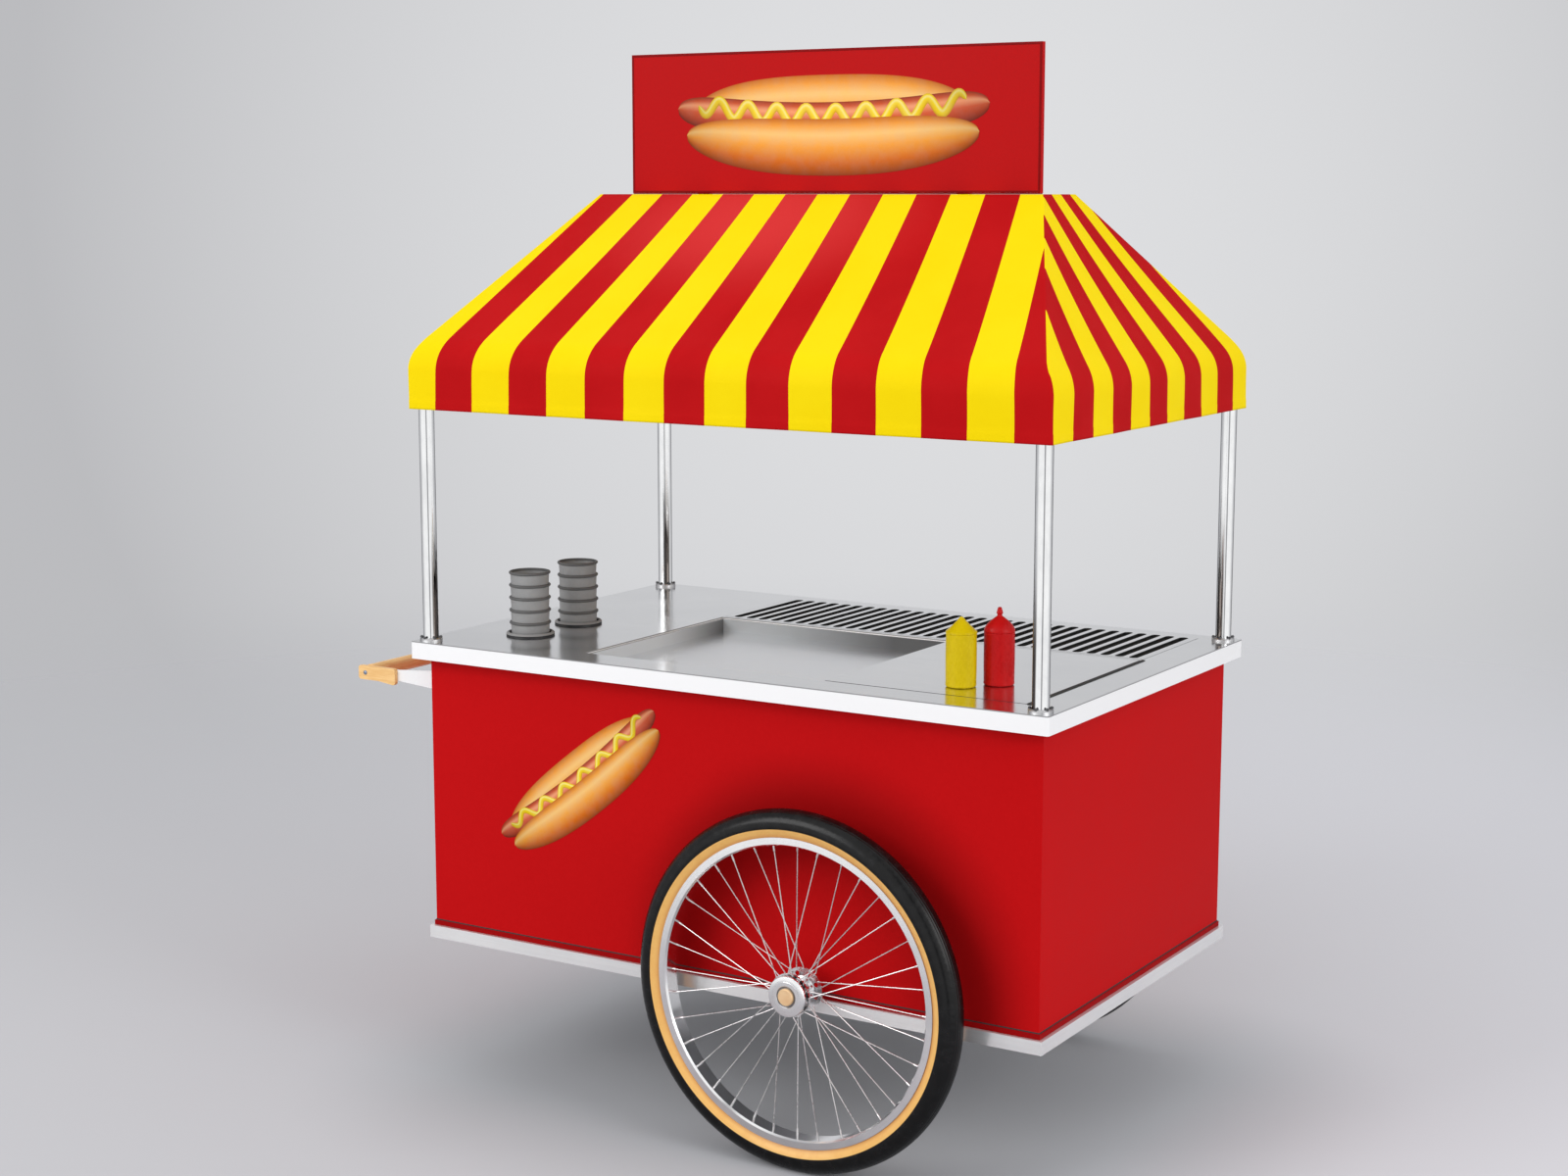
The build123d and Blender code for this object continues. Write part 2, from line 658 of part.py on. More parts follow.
def hub():
    """High-flange hub with a bearing seat in each end and a ring of lightening holes in each flange."""
    flange_in = HUB_FLANGE_Y - HUB_FLANGE_T / 2
    flange_out = HUB_FLANGE_Y + HUB_FLANGE_T / 2
    seat = HUB_HALF - BEARING_W
    side = [
        (HUB_BORE_R, seat), (BEARING_R, seat), (BEARING_R, HUB_HALF), (HUB_BARREL_R, HUB_HALF),
        (HUB_BARREL_R, flange_out), (HUB_FLANGE_R, flange_out), (HUB_FLANGE_R, flange_in),
        (HUB_BARREL_R, flange_in), (HUB_WAIST_R, flange_in / 2),
    ]
    shell = turned_y(side + [(r, -y) for r, y in reversed(side)])
    for k in range(HUB_HOLES):
        turn = math.radians((k + 0.5) * 360 / HUB_HOLES)
        x, z = HUB_HOLE_CIRCLE_R * math.cos(turn), HUB_HOLE_CIRCLE_R * math.sin(turn)
        shell -= rod((x, -HUB_HALF, z), (x, HUB_HALF, z), HUB_HOLE_R)
    return shell


def bearings():
    """Sealed ball bearing in each end of the hub, drawn as a plain ring."""
    bore = JOURNAL_R + RUN_GAP
    low, high = HUB_HALF - BEARING_W, HUB_HALF
    ring = turned_y([(bore, low), (BEARING_R, low), (BEARING_R, high), (bore, high)])
    return solids(ring, mirror(ring, Plane.XZ))


def place_wheel(piece, side):
    """Wheel piece moved from the wheel's own centre to one end of the axle."""
    turned = piece if side < 0 else Rot(0, 0, 180) * piece
    return Pos(AXLE_X, side * WHEEL_Y, WHEEL_R) * turned


def door():
    """Overlay door folded from sheet, open at its back."""
    y0 = HALF_W + DOOR_GAP
    leaf = block((DOOR_X0, y0, DOOR_Z0), (DOOR_X1, y0 + DOOR_T, DOOR_Z1))
    return leaf - block(
        (DOOR_X0 + DOOR_SHEET, y0, DOOR_Z0 + DOOR_SHEET),
        (DOOR_X1 - DOOR_SHEET, y0 + DOOR_T - DOOR_SHEET, DOOR_Z1 - DOOR_SHEET),
    )


def hinge_heights():
    """Middle heights of the two door hinges."""
    return (DOOR_Z0 + HINGE_INSET, DOOR_Z1 - HINGE_INSET)


def door_hinges():
    """Fixed halves of the lift-off hinges: a leaf on the back panel, a knuckle and its pin."""
    pieces = []
    for z in hinge_heights():
        low = z - HINGE_H / 2
        half = block((HINGE_X - HINGE_LEAF_W, HALF_W, low), (HINGE_X, HALF_W + HINGE_LEAF_T, z - SIDE_GAP))
        half += rod((HINGE_X, HINGE_Y, low), (HINGE_X, HINGE_Y, z - SIDE_GAP), HINGE_R)
        half += rod((HINGE_X, HINGE_Y, low), (HINGE_X, HINGE_Y, z + HINGE_H / 2), HINGE_PIN_R)
        pieces.append(half)
    return solids(*pieces)


def hinge_sockets():
    """Moving halves of the hinges: a knuckle over the pin and a strap on the door's edge."""
    pieces = []
    for z in hinge_heights():
        high = z + HINGE_H / 2
        y0 = HALF_W + DOOR_GAP
        half = block((DOOR_X0 - HINGE_STRAP_T, y0, z), (DOOR_X0, y0 + DOOR_T, high))
        half += rod((HINGE_X, HINGE_Y, z), (HINGE_X, HINGE_Y, high), HINGE_R)
        half -= rod((HINGE_X, HINGE_Y, z), (HINGE_X, HINGE_Y, high), HINGE_PIN_R + RUN_GAP)
        pieces.append(half)
    return solids(*pieces)


def door_pull():
    """Bent bar near the door's free edge."""
    x = DOOR_X1 - PULL_INSET
    z = (DOOR_Z0 + DOOR_Z1) / 2
    y0 = HALF_W + DOOR_GAP + DOOR_T
    low, high = z - PULL_L / 2, z + PULL_L / 2
    path = FilletPolyline(
        (x, y0, low), (x, y0 + PULL_OUT, low), (x, y0 + PULL_OUT, high), (x, y0, high), radius=PULL_BEND
    )
    return sweep(Plane(origin=(x, y0, low), z_dir=(0, 1, 0)) * Circle(PULL_R), path=path)


def cup_well(y):
    """Flanged cup under a hole of the worktop, which holds a stack of cups upright."""
    floor_z = WORKTOP_Z + CUP_FIRST_RIM - CUP_H - CUP_STAND
    low = floor_z - CUP_WELL_WALL
    top = WORKTOP_Z + CUP_WELL_WALL
    flange_r = CUP_WELL_OUT_R + CUP_WELL_FLANGE
    return turned_z(
        [(0, low), (CUP_WELL_OUT_R, low), (CUP_WELL_OUT_R, WORKTOP_Z), (flange_r, WORKTOP_Z),
         (flange_r, top), (CUP_WELL_R, top), (CUP_WELL_R, floor_z), (0, floor_z)], CUP_X, y)


def cup_gasket(y):
    """Dark rubber ring lying on a cup well's flange."""
    low = WORKTOP_Z + CUP_WELL_WALL
    high = low + GASKET_H
    outer = CUP_WELL_R + GASKET_W
    return turned_z(
        [(CUP_WELL_R, low), (outer, low), (outer, high - GASKET_ROUND), (outer - GASKET_ROUND, high),
         (CUP_WELL_R, high)], CUP_X, y)


def cup_stack(y):
    """Nested cups with thick rims, each held a pitch above the one below."""
    pieces = []
    for k in range(CUPS):
        rim_z = WORKTOP_Z + CUP_FIRST_RIM + k * CUP_PITCH
        base = rim_z - CUP_H
        under_rim_r = CUP_TOP_R - CUP_SLOPE * CUP_RIM_T
        floor_r = CUP_BASE_R - CUP_WALL + CUP_SLOPE * CUP_FLOOR
        pieces.append(turned_z(
            [(0, base), (CUP_BASE_R, base), (under_rim_r, rim_z - CUP_RIM_T),
             (CUP_RIM_R, rim_z - CUP_RIM_T), (CUP_RIM_R, rim_z), (CUP_TOP_R - CUP_WALL, rim_z),
             (floor_r, base + CUP_FLOOR), (0, base + CUP_FLOOR)], CUP_X, y))
    return solids(*pieces)


def bottle_base():
    """Height at which the bottles stand on the lid."""
    return PLATE_Z + SKIN + BOTTLE_STAND


def bottle(x, y):
    """Squeeze bottle's round body with a softened foot."""
    low = bottle_base()
    return turned_z(
        [(0, low), (BOTTLE_R - BOTTLE_EDGE, low), (BOTTLE_R, low + BOTTLE_EDGE), (BOTTLE_R, low + BOTTLE_H),
         (0, low + BOTTLE_H)], x, y)


def cone_cap(x, y):
    """Pointed cap with a straight lip, a little wider than the bottle."""
    low = bottle_base() + BOTTLE_H
    wide = BOTTLE_R + CONE_OVER
    return turned_z(
        [(0, low), (wide, low), (wide, low + CONE_LIP), (TIP_R, low + CONE_H), (0, low + CONE_H)], x, y)


def dome_cap(x, y):
    """Rounded shoulder with a tapered nozzle."""
    low = bottle_base() + BOTTLE_H
    neck = low + DOME_H
    outline = [
        Line((0, low), (BOTTLE_R, low)),
        ThreePointArc((BOTTLE_R, low), (DOME_MID_R, low + DOME_MID_H), (NOZZLE_R, neck)),
        Polyline((NOZZLE_R, neck), (TIP_R, neck + NOZZLE_H), (0, neck + NOZZLE_H), (0, low)),
    ]
    return Pos(x, y, 0) * revolve(Plane.XZ * make_face(outline), Axis.Z)


def poles():
    """Four chrome tubes from the worktop's flanges to the underside of the eave frame."""
    pieces = []
    for x in (-POLE_X, POLE_X):
        for y in (-POLE_Y, POLE_Y):
            low, high = (x, y, WORKTOP_Z + POLE_FLANGE_T), (x, y, EAVE_Z)
            pieces.append(rod(low, high, POLE_R) - rod(low, high, POLE_R - POLE_WALL))
    return pieces


def pole_flanges():
    """Round foot under each pole, bolted to the worktop."""
    pieces = []
    for x in (-POLE_X, POLE_X):
        for y in (-POLE_Y, POLE_Y):
            disc = rod((x, y, WORKTOP_Z), (x, y, WORKTOP_Z + POLE_FLANGE_T), POLE_FLANGE_R)
            pieces.append(chamfer(disc.edges().sort_by(Axis.Z)[-1], POLE_FLANGE_BEVEL))
    return solids(*pieces)


def tangent_point(px, pz, cx, cz, radius):
    """Point where the line from (px, pz) touches the far side of a circle about (cx, cz)."""
    dx, dz = px - cx, pz - cz
    distance = math.hypot(dx, dz)
    turn = math.atan2(dz, dx) - math.acos(radius / distance)
    return cx + radius * math.cos(turn), cz + radius * math.sin(turn)


def canopy_section(hem, top, top_z, radius, low):
    """Half-open roof outline: upright valance, round shoulder, straight slope and flat top."""
    cx = hem - radius
    tx, tz = tangent_point(top, top_z, cx, SHOULDER_Z, radius)
    turn = math.atan2(tz - SHOULDER_Z, tx - cx) / 2
    mx, mz = cx + radius * math.cos(turn), SHOULDER_Z + radius * math.sin(turn)
    outline = [
        Polyline((-hem, SHOULDER_Z), (-hem, low), (hem, low), (hem, SHOULDER_Z)),
        ThreePointArc((hem, SHOULDER_Z), (mx, mz), (tx, tz)),
        Polyline((tx, tz), (top, top_z), (-top, top_z), (-tx, tz)),
        ThreePointArc((-tx, tz), (-mx, mz), (-hem, SHOULDER_Z)),
    ]
    return make_face(outline)


def canopy_body(inset, low):
    """Hip roof where two crossed roof profiles meet, set in from the outside by a thickness."""
    radius = SHOULDER_R - inset
    top_z = TOP_Z - inset
    along = canopy_section(HEM_HALF_Y - inset, TOP_HALF_Y - inset / 2, top_z, radius, low)
    across = canopy_section(HEM_HALF_X - inset, TOP_HALF_X - inset / 2, top_z, radius, low)
    roof = extrude(Plane.YZ * along, WORKTOP_L, both=True)
    return roof & extrude(Plane.XZ * across, WORKTOP_W, both=True)


def sign_post_box(x, gap, low, high):
    """Box of a sign post's section, widened by a gap."""
    half = SIGN_POST_W / 2 + gap
    return block((x - half, SIGN_T / 2 - gap, low), (x + half, SIGN_T / 2 + SIGN_POST_T + gap, high))


def canopy_cloth():
    """Striped cloth over the frame: a hip roof with a short valance, slit for the sign's posts."""
    cloth = canopy_body(0, HEM_Z) - canopy_body(CLOTH_T, HEM_Z)
    for x in (-SIGN_POST_X, SIGN_POST_X):
        cloth -= sign_post_box(x, SLIT_GAP, SHOULDER_Z, TOP_Z)
    return cloth


def eave_frame():
    """Square bar ring inside the valance, resting on the poles."""
    x1, y1 = HEM_HALF_X - CLOTH_T - CLOTH_GAP, HEM_HALF_Y - CLOTH_T - CLOTH_GAP
    low, high = EAVE_Z, EAVE_Z + EAVE_TUBE
    ring = block((-x1, -y1, low), (x1, y1, high))
    return ring - block((-x1 + EAVE_TUBE, -y1 + EAVE_TUBE, low), (x1 - EAVE_TUBE, y1 - EAVE_TUBE, high))


def top_frame():
    """Long ring under the flat top with a cross bar under each sign post."""
    x1, y1 = TOP_HALF_X - TOP_INSET, TOP_HALF_Y - TOP_INSET
    high = TOP_Z - CLOTH_T - CLOTH_GAP
    low = high - TOP_TUBE
    ring = block((-x1, -y1, low), (x1, y1, high))
    ring -= block((-x1 + TOP_TUBE, -y1 + TOP_TUBE, low), (x1 - TOP_TUBE, y1 - TOP_TUBE, high))
    for x in (-SIGN_POST_X, SIGN_POST_X):
        ring += block((x - TOP_TUBE / 2, -y1 + TOP_TUBE, low), (x + TOP_TUBE / 2, y1 - TOP_TUBE, high))
    return ring


def rafters():
    """Hip rafter at each corner, from the eave frame up to the top frame."""
    x0, y0 = HEM_HALF_X - CLOTH_T - EAVE_TUBE, HEM_HALF_Y - CLOTH_T - EAVE_TUBE
    x1, y1 = TOP_HALF_X - TOP_INSET - TOP_TUBE / 2, TOP_HALF_Y - TOP_INSET - TOP_TUBE / 2
    low, high = EAVE_Z + EAVE_TUBE, TOP_Z - CLOTH_T - CLOTH_GAP - TOP_TUBE
    bar = rod((x0, y0, low - RAFTER_R), (x1, y1, high + RAFTER_R), RAFTER_R)
    bar &= block((0, 0, low), (HEM_HALF_X, HEM_HALF_Y, high))
    return solids(both_ends(bar), both_ends(mirror(bar, Plane.YZ)))


def sign_board():
    """Thin board standing on the canopy's flat top."""
    low = TOP_Z + SIGN_LIFT
    return block((-SIGN_L / 2, -SIGN_T / 2, low), (SIGN_L / 2, SIGN_T / 2, low + SIGN_H))


def sign_posts():
    """Flat posts behind the board, standing on the top frame's cross bars."""
    low = TOP_Z - CLOTH_T - CLOTH_GAP
    high = TOP_Z + SIGN_LIFT + SIGN_H - SIGN_POST_DOWN
    return solids(*(sign_post_box(x, 0, low, high) for x in (-SIGN_POST_X, SIGN_POST_X)))


def handle_arm():
    """Flat steel arm at the front, tapered out to the cheek, with its foot turned in along the end panel."""
    y0, y1 = -HANDLE_Y - ARM_T / 2, -HANDLE_Y + ARM_T / 2
    foot_x, cheek_x = -HALF_L - ARM_FOOT_T, HANDLE_END + CHEEK_L
    half, end_half = ARM_H / 2, ARM_END_H / 2
    lower = [(HANDLE_END, -end_half), (cheek_x, -end_half), (foot_x, -half), (-HALF_L, -half)]
    upper = [(x, -z) for x, z in reversed(lower)]
    outline = make_face(Polyline(*lower, *upper, close=True))
    arm = Pos(0, y1, HANDLE_Z) * extrude(Plane.XZ * outline, ARM_T)
    return arm + block((foot_x, y0, HANDLE_Z - half), (-HALF_L, y1 + ARM_FOOT, HANDLE_Z + half))


def handle_arms():
    """The pair of arms."""
    front = handle_arm()
    return solids(front, mirror(front, Plane.XZ))


def handle_cheeks():
    """Wooden cheek screwed to the outside of each arm's end, deeper towards the cart."""
    x0, x1, half = HANDLE_END, HANDLE_END + CHEEK_L, CHEEK_H / 2
    outline = make_face(Polyline(
        (x0, -half), (x1 - CHEEK_FLARE_L, -half), (x1, -half - CHEEK_FLARE), (x1, half), (x0, half), close=True
    ))
    cheek = Pos(0, -HANDLE_Y - ARM_T / 2, HANDLE_Z) * extrude(Plane.XZ * outline, CHEEK_T)
    cheek = fillet(cheek.edges().filter_by(Axis.Y), CHEEK_ROUND)
    return solids(cheek, mirror(cheek, Plane.XZ))


def handle_bar():
    """Wooden cross bar between the two arms."""
    half = HANDLE_Y - ARM_T / 2
    x0 = HANDLE_END + GRIP_INSET
    bar = block((x0, -half, HANDLE_Z - GRIP_H / 2), (x0 + GRIP_W, half, HANDLE_Z + GRIP_H / 2))
    return fillet(bar.edges().filter_by(Axis.Y), GRIP_ROUND)


def leg_bracket():
    """Plate under the base frame with two ears for the leg's pin."""
    half = LEG_TUBE / 2 + EAR_GAP
    plate = block(
        (LEG_X - EAR_FOOT_L / 2, LEG_Y - EAR_FOOT_W / 2, BASE_Z - EAR_FOOT_T),
        (LEG_X + EAR_FOOT_L / 2, LEG_Y + EAR_FOOT_W / 2, BASE_Z),
    )
    for side in (-1, 1):
        y0, y1 = sorted((LEG_Y + side * half, LEG_Y + side * (half + EAR_T)))
        plate += block((LEG_X - EAR_W / 2, y0, LEG_PIVOT_Z), (LEG_X + EAR_W / 2, y1, BASE_Z - EAR_FOOT_T))
        plate += rod((LEG_X, y0, LEG_PIVOT_Z), (LEG_X, y1, LEG_PIVOT_Z), EAR_W / 2)
        plate -= rod((LEG_X, y0, LEG_PIVOT_Z), (LEG_X, y1, LEG_PIVOT_Z), LEG_PIN_R)
    return plate


def leg_pin():
    """Pin through the ears and the leg's eye."""
    half = LEG_TUBE / 2 + EAR_GAP + EAR_T
    return rod((LEG_X, LEG_Y - half, LEG_PIVOT_Z), (LEG_X, LEG_Y + half, LEG_PIVOT_Z), LEG_PIN_R)


def drop_leg():
    """Square tube with a solid rounded eye at its top, splayed a little outwards."""
    half = LEG_TUBE / 2
    inside = LEG_TUBE - 2 * LEG_TUBE_WALL
    along = Vector(LEG_SPLAY, 0, LEG_PIVOT_Z - FOOT_H)
    lean = Plane(origin=(LEG_FOOT_X, LEG_Y, FOOT_H), x_dir=(0, 1, 0), z_dir=along)
    section = lean * (Rectangle(LEG_TUBE, LEG_TUBE) - Rectangle(inside, inside))
    tube = extrude(section, along.length, dir=along.normalized())
    left, right = (LEG_X, LEG_Y - half, LEG_PIVOT_Z), (LEG_X, LEG_Y + half, LEG_PIVOT_Z)
    tube += rod(left, right, LEG_EYE_R)
    tube -= rod(left, right, LEG_PIN_R + RUN_GAP)
    under = block((LEG_FOOT_X - LEG_TUBE, LEG_Y - half, 0), (LEG_FOOT_X + LEG_TUBE, LEG_Y + half, FOOT_H))
    return tube - under


def leg_foot():
    """Rubber foot under the leg."""
    disc = rod((LEG_FOOT_X, LEG_Y, 0), (LEG_FOOT_X, LEG_Y, FOOT_H), FOOT_R)
    return chamfer(disc.edges().sort_by(Axis.Z)[-1], FOOT_BEVEL)


NODES = {
    "base_frame": base_frame(),
    "cabinet_floor": cabinet_floor(),
    "corner_posts": corner_posts(),
    "front_panel": front_panel(),
    "back_panel": back_panel(),
    "left_panel": end_panel(-1),
    "right_panel": end_panel(1),
    "axle": axle(),
    "axle_blocks": axle_blocks(),
    "axle_caps": axle_caps(),
    "worktop": worktop(),
    "well_pan": well_pan(),
    "well_lid": well_lid(),
    "grill_box": grill_box(),
    "grill_plate": grill_plate(),
    "burners": burners(),
    "gas_manifold": gas_manifold(),
    "cup_wells": solids(*(cup_well(y) for y in CUP_Y)),
    "cup_gaskets": solids(*(cup_gasket(y) for y in CUP_Y)),
    "door": door(),
    "door_hinges": door_hinges(),
    "hinge_sockets": hinge_sockets(),
    "door_pull": door_pull(),
    "yellow_bottle": bottle(YELLOW_X, YELLOW_Y),
    "yellow_cap": cone_cap(YELLOW_X, YELLOW_Y),
    "red_bottle": bottle(RED_X, RED_Y),
    "red_cap": dome_cap(RED_X, RED_Y),
    "pole_flanges": pole_flanges(),
    "canopy_cloth": canopy_cloth(),
    "eave_frame": eave_frame(),
    "top_frame": top_frame(),
    "rafters": rafters(),
    "sign_board": sign_board(),
    "sign_posts": sign_posts(),
    "handle_arms": handle_arms(),
    "handle_cheeks": handle_cheeks(),
    "handle_bar": handle_bar(),
    "leg_bracket": leg_bracket(),
    "leg_pin": leg_pin(),
    "drop_leg": drop_leg(),
    "leg_foot": leg_foot(),
}
for name, x in zip(("left", "right"), KNOB_X):
    NODES[f"{name}_knob"] = knob(x)
for name, y in zip(("front", "rear"), CUP_Y):
    NODES[f"{name}_cups"] = cup_stack(y)
for name, tube in zip(("front_left", "back_left", "front_right", "back_right"), poles()):
    NODES[f"{name}_pole"] = tube
for make in (tyre, rim, spokes, hub, bearings):
    piece = make()
    for name, side in (("front", -1), ("back", 1)):
        NODES[f"{name}_wheel_{make.__name__}"] = place_wheel(piece, side)

for name, shape in NODES.items():
    export_step(Pos(SHIFT_X, 0, 0) * shape, f"parts/{name}.step")
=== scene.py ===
import math

import bmesh
import bpy
import numpy as np
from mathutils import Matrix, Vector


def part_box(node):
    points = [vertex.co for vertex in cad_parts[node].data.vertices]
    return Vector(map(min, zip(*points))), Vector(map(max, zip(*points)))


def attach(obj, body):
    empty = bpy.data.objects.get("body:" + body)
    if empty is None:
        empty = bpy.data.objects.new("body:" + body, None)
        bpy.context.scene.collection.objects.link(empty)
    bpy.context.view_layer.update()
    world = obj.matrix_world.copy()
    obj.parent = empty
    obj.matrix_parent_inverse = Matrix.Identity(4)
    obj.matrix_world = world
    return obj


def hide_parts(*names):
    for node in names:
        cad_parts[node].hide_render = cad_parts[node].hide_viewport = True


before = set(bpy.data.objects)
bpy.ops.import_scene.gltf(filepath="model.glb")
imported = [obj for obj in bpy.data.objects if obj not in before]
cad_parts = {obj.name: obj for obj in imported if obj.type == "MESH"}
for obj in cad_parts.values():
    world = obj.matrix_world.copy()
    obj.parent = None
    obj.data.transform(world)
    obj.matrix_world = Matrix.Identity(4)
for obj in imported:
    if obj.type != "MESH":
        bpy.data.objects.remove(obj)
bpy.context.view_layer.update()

# Camera. It stands off the cart's front right corner, level with the canopy's flat top, and looks slightly
# down through a short telephoto lens.
CAMERA_PLACE = (2.6837, -4.3783, 1.8301)
CAMERA_YAW, CAMERA_PITCH = 31.638, -8.905
CAMERA_LENS_MM, CAMERA_SENSOR_MM = 57.93, 36.0
studio = bpy.context.scene
lens = bpy.data.cameras.new("studio_camera")
lens.sensor_width, lens.lens = CAMERA_SENSOR_MM, CAMERA_LENS_MM
camera = bpy.data.objects.new("studio_camera", lens)
camera.location = CAMERA_PLACE
camera.rotation_euler = (math.radians(90 + CAMERA_PITCH), 0, math.radians(CAMERA_YAW))
studio.collection.objects.link(camera)
studio.camera = camera
studio.view_settings.view_transform = "Standard"

# Studio floor. A wide pale sheet, matte so that it takes the soft shadow. Painted shade darkens it under the
# cart, and a painted light gradient makes it lighter towards one side. It fades into the even grey of the
# studio's far wall with no line between them.
FLOOR_R, FLOOR_START, FLOOR_RINGS, FLOOR_SIDES, FLOOR_ROUGH = 9.0, 0.0005, 48, 96, 0.6
FLOOR_SHADED_SIDE, FLOOR_LIT_SIDE, BLACK = (0.52, 0.525, 0.54), (0.65, 0.655, 0.68), (0, 0, 0)
FLOOR_LIGHT_WAY, FLOOR_LIGHT_REACH = (0.851, 0.524, 0.0), (-2.4, 2.4)
CART_SHADE_MIDDLE, CART_SHADE_HALF, CART_SHADE_EDGE, CART_SHADE_SHARE = (0.16, 0.0, 0.0), (0.50, 0.34, 1.0), 0.62, 0.27
FLOOR_FADE, MIRROR_FADE = (2.4, 7.2), (1.3, 3.2)


def node(tree, kind, feeds=None, pick=0, **settings):
    """Adds one shader node. A feed that is a socket is linked, and any other is set as that input's value."""
    made = tree.nodes.new("ShaderNode" + kind)
    for name, value in settings.items():
        setattr(made, name, value)
    for key, value in (feeds or {}).items():
        if isinstance(value, bpy.types.NodeSocket):
            tree.links.new(value, made.inputs[key])
        else:
            made.inputs[key].default_value = (*value, 1) if made.inputs[key].type == "RGBA" else value
    return made.outputs[pick] if made.outputs else made


def maths(operation, *feeds):
    """One step of arithmetic on numbers."""
    return node(feeds[0].id_data, "Math", dict(enumerate(feeds)), operation=operation)


def vectors(operation, *feeds):
    """One step of arithmetic on vectors. A length and a dot product are numbers."""
    pick = "Value" if operation in ("LENGTH", "DOT_PRODUCT") else "Vector"
    return node(feeds[0].id_data, "VectorMath", dict(enumerate(feeds)), pick, operation=operation)


def own(tree, axis=None):
    """The piece's own coordinates, or one of them."""
    place = node(tree, "TexCoord", pick="Object")
    return node(tree, "SeparateXYZ", {0: place}, axis) if axis else place


def span(value, low, high, to_low=0.0, to_high=1.0, smooth=True):
    """Carries a value from one range to another, held at both ends, along an S-shaped or a straight line."""
    feeds = {"Value": value, "From Min": low, "From Max": high, "To Min": to_low, "To Max": to_high}
    return node(value.id_data, "MapRange", feeds, interpolation_type="SMOOTHSTEP" if smooth else "LINEAR")


def between(share, first, second):
    """Colour that goes from the first to the second as a share goes from 0 to 1."""
    return node(share.id_data, "Mix", {0: share, 6: first, 7: second}, 2, data_type="RGBA")


def grid_faces(points, wrap_rows=False, wrap_columns=True):
    """Vertex numbers of the quads of a grid of points laid row by row, joined up where the grid closes on
    itself. Like grids may follow one another along the first axis."""
    rows, columns = points.shape[-3:-1]
    here = np.arange(points.size // 3).reshape(-1, rows, columns)
    beside = np.roll(here, -1, 2)
    quads = np.stack((here, beside, np.roll(beside, -1, 1), np.roll(here, -1, 1)), -1)
    return quads[:, :rows - (not wrap_rows), :columns - (not wrap_columns)].reshape(-1, 4)


def new_piece(name, points, finish, crease=40.0, *wrap):
    """Object at the origin whose mesh is a grid of points, smooth except across edges past the crease. Wrap
    says whether its rows and its columns close on themselves."""
    mesh = bpy.data.meshes.new(name)
    mesh.from_pydata(points.reshape(-1, 3).tolist(), [], grid_faces(points, *wrap).tolist())
    mesh.shade_smooth()
    mesh.set_sharp_from_angle(angle=math.radians(crease))
    mesh.materials.append(finish)
    piece = bpy.data.objects.new(name, mesh)
    studio.collection.objects.link(piece)
    return piece


def turned(section, sides, places, normal):
    """Turned pieces, all at once: each place gets the same section of (radius, distance) pairs, carried round
    a line through the place along the normal."""
    radius, out = np.array(section, float).T[:, :, None, None]
    turn = np.linspace(0, 2 * np.pi, sides, endpoint=False)[:, None]
    first = np.roll(normal, 1)
    ring = np.cos(turn) * first + np.sin(turn) * np.cross(normal, first)
    return np.array(places, float)[:, None, None] + radius * ring + out * np.array(normal)


floor_section = [(FLOOR_R * share ** 2, 0) for share in np.linspace(FLOOR_START, 1, FLOOR_RINGS)]
floor_finish = bpy.data.materials.new("studio_floor")
floor_finish.use_nodes = True
tree = floor_finish.node_tree
tree.nodes.clear()
from_middle = vectors("LENGTH", own(tree))
# Painted light: the floor's colour is lighter towards one side.
along = vectors("DOT_PRODUCT", own(tree), FLOOR_LIGHT_WAY)
grey = between(span(along, *FLOOR_LIGHT_REACH), FLOOR_SHADED_SIDE, FLOOR_LIT_SIDE)
# Painted shade: the floor's colour darkens towards and under the cart's footprint.
beside = vectors("ABSOLUTE", vectors("SUBTRACT", own(tree), CART_SHADE_MIDDLE))
beside = vectors("MAXIMUM", vectors("SUBTRACT", beside, CART_SHADE_HALF), (0, 0, 0))
painted_cart_shade = span(vectors("LENGTH", beside), 0.0, CART_SHADE_EDGE, CART_SHADE_SHARE, 0.0)
matte = node(tree, "BsdfDiffuse", {"Color": between(painted_cart_shade, grey, BLACK), "Roughness": FLOOR_ROUGH})
glossy = node(tree, "LightPath", pick="Is Glossy Ray")
mirror_fade = maths("MULTIPLY", span(from_middle, *MIRROR_FADE), glossy)
fade = maths("MAXIMUM", span(from_middle, *FLOOR_FADE), mirror_fade)
faded = node(tree, "MixShader", {0: fade, 1: matte, 2: node(tree, "BsdfTransparent")})
node(tree, "OutputMaterial", {"Surface": faded})
floor_points = turned(floor_section, FLOOR_SIDES, [(0, 0, 0)], (0, 0, 1))
studio_floor = new_piece("studio_floor", floor_points, floor_finish)

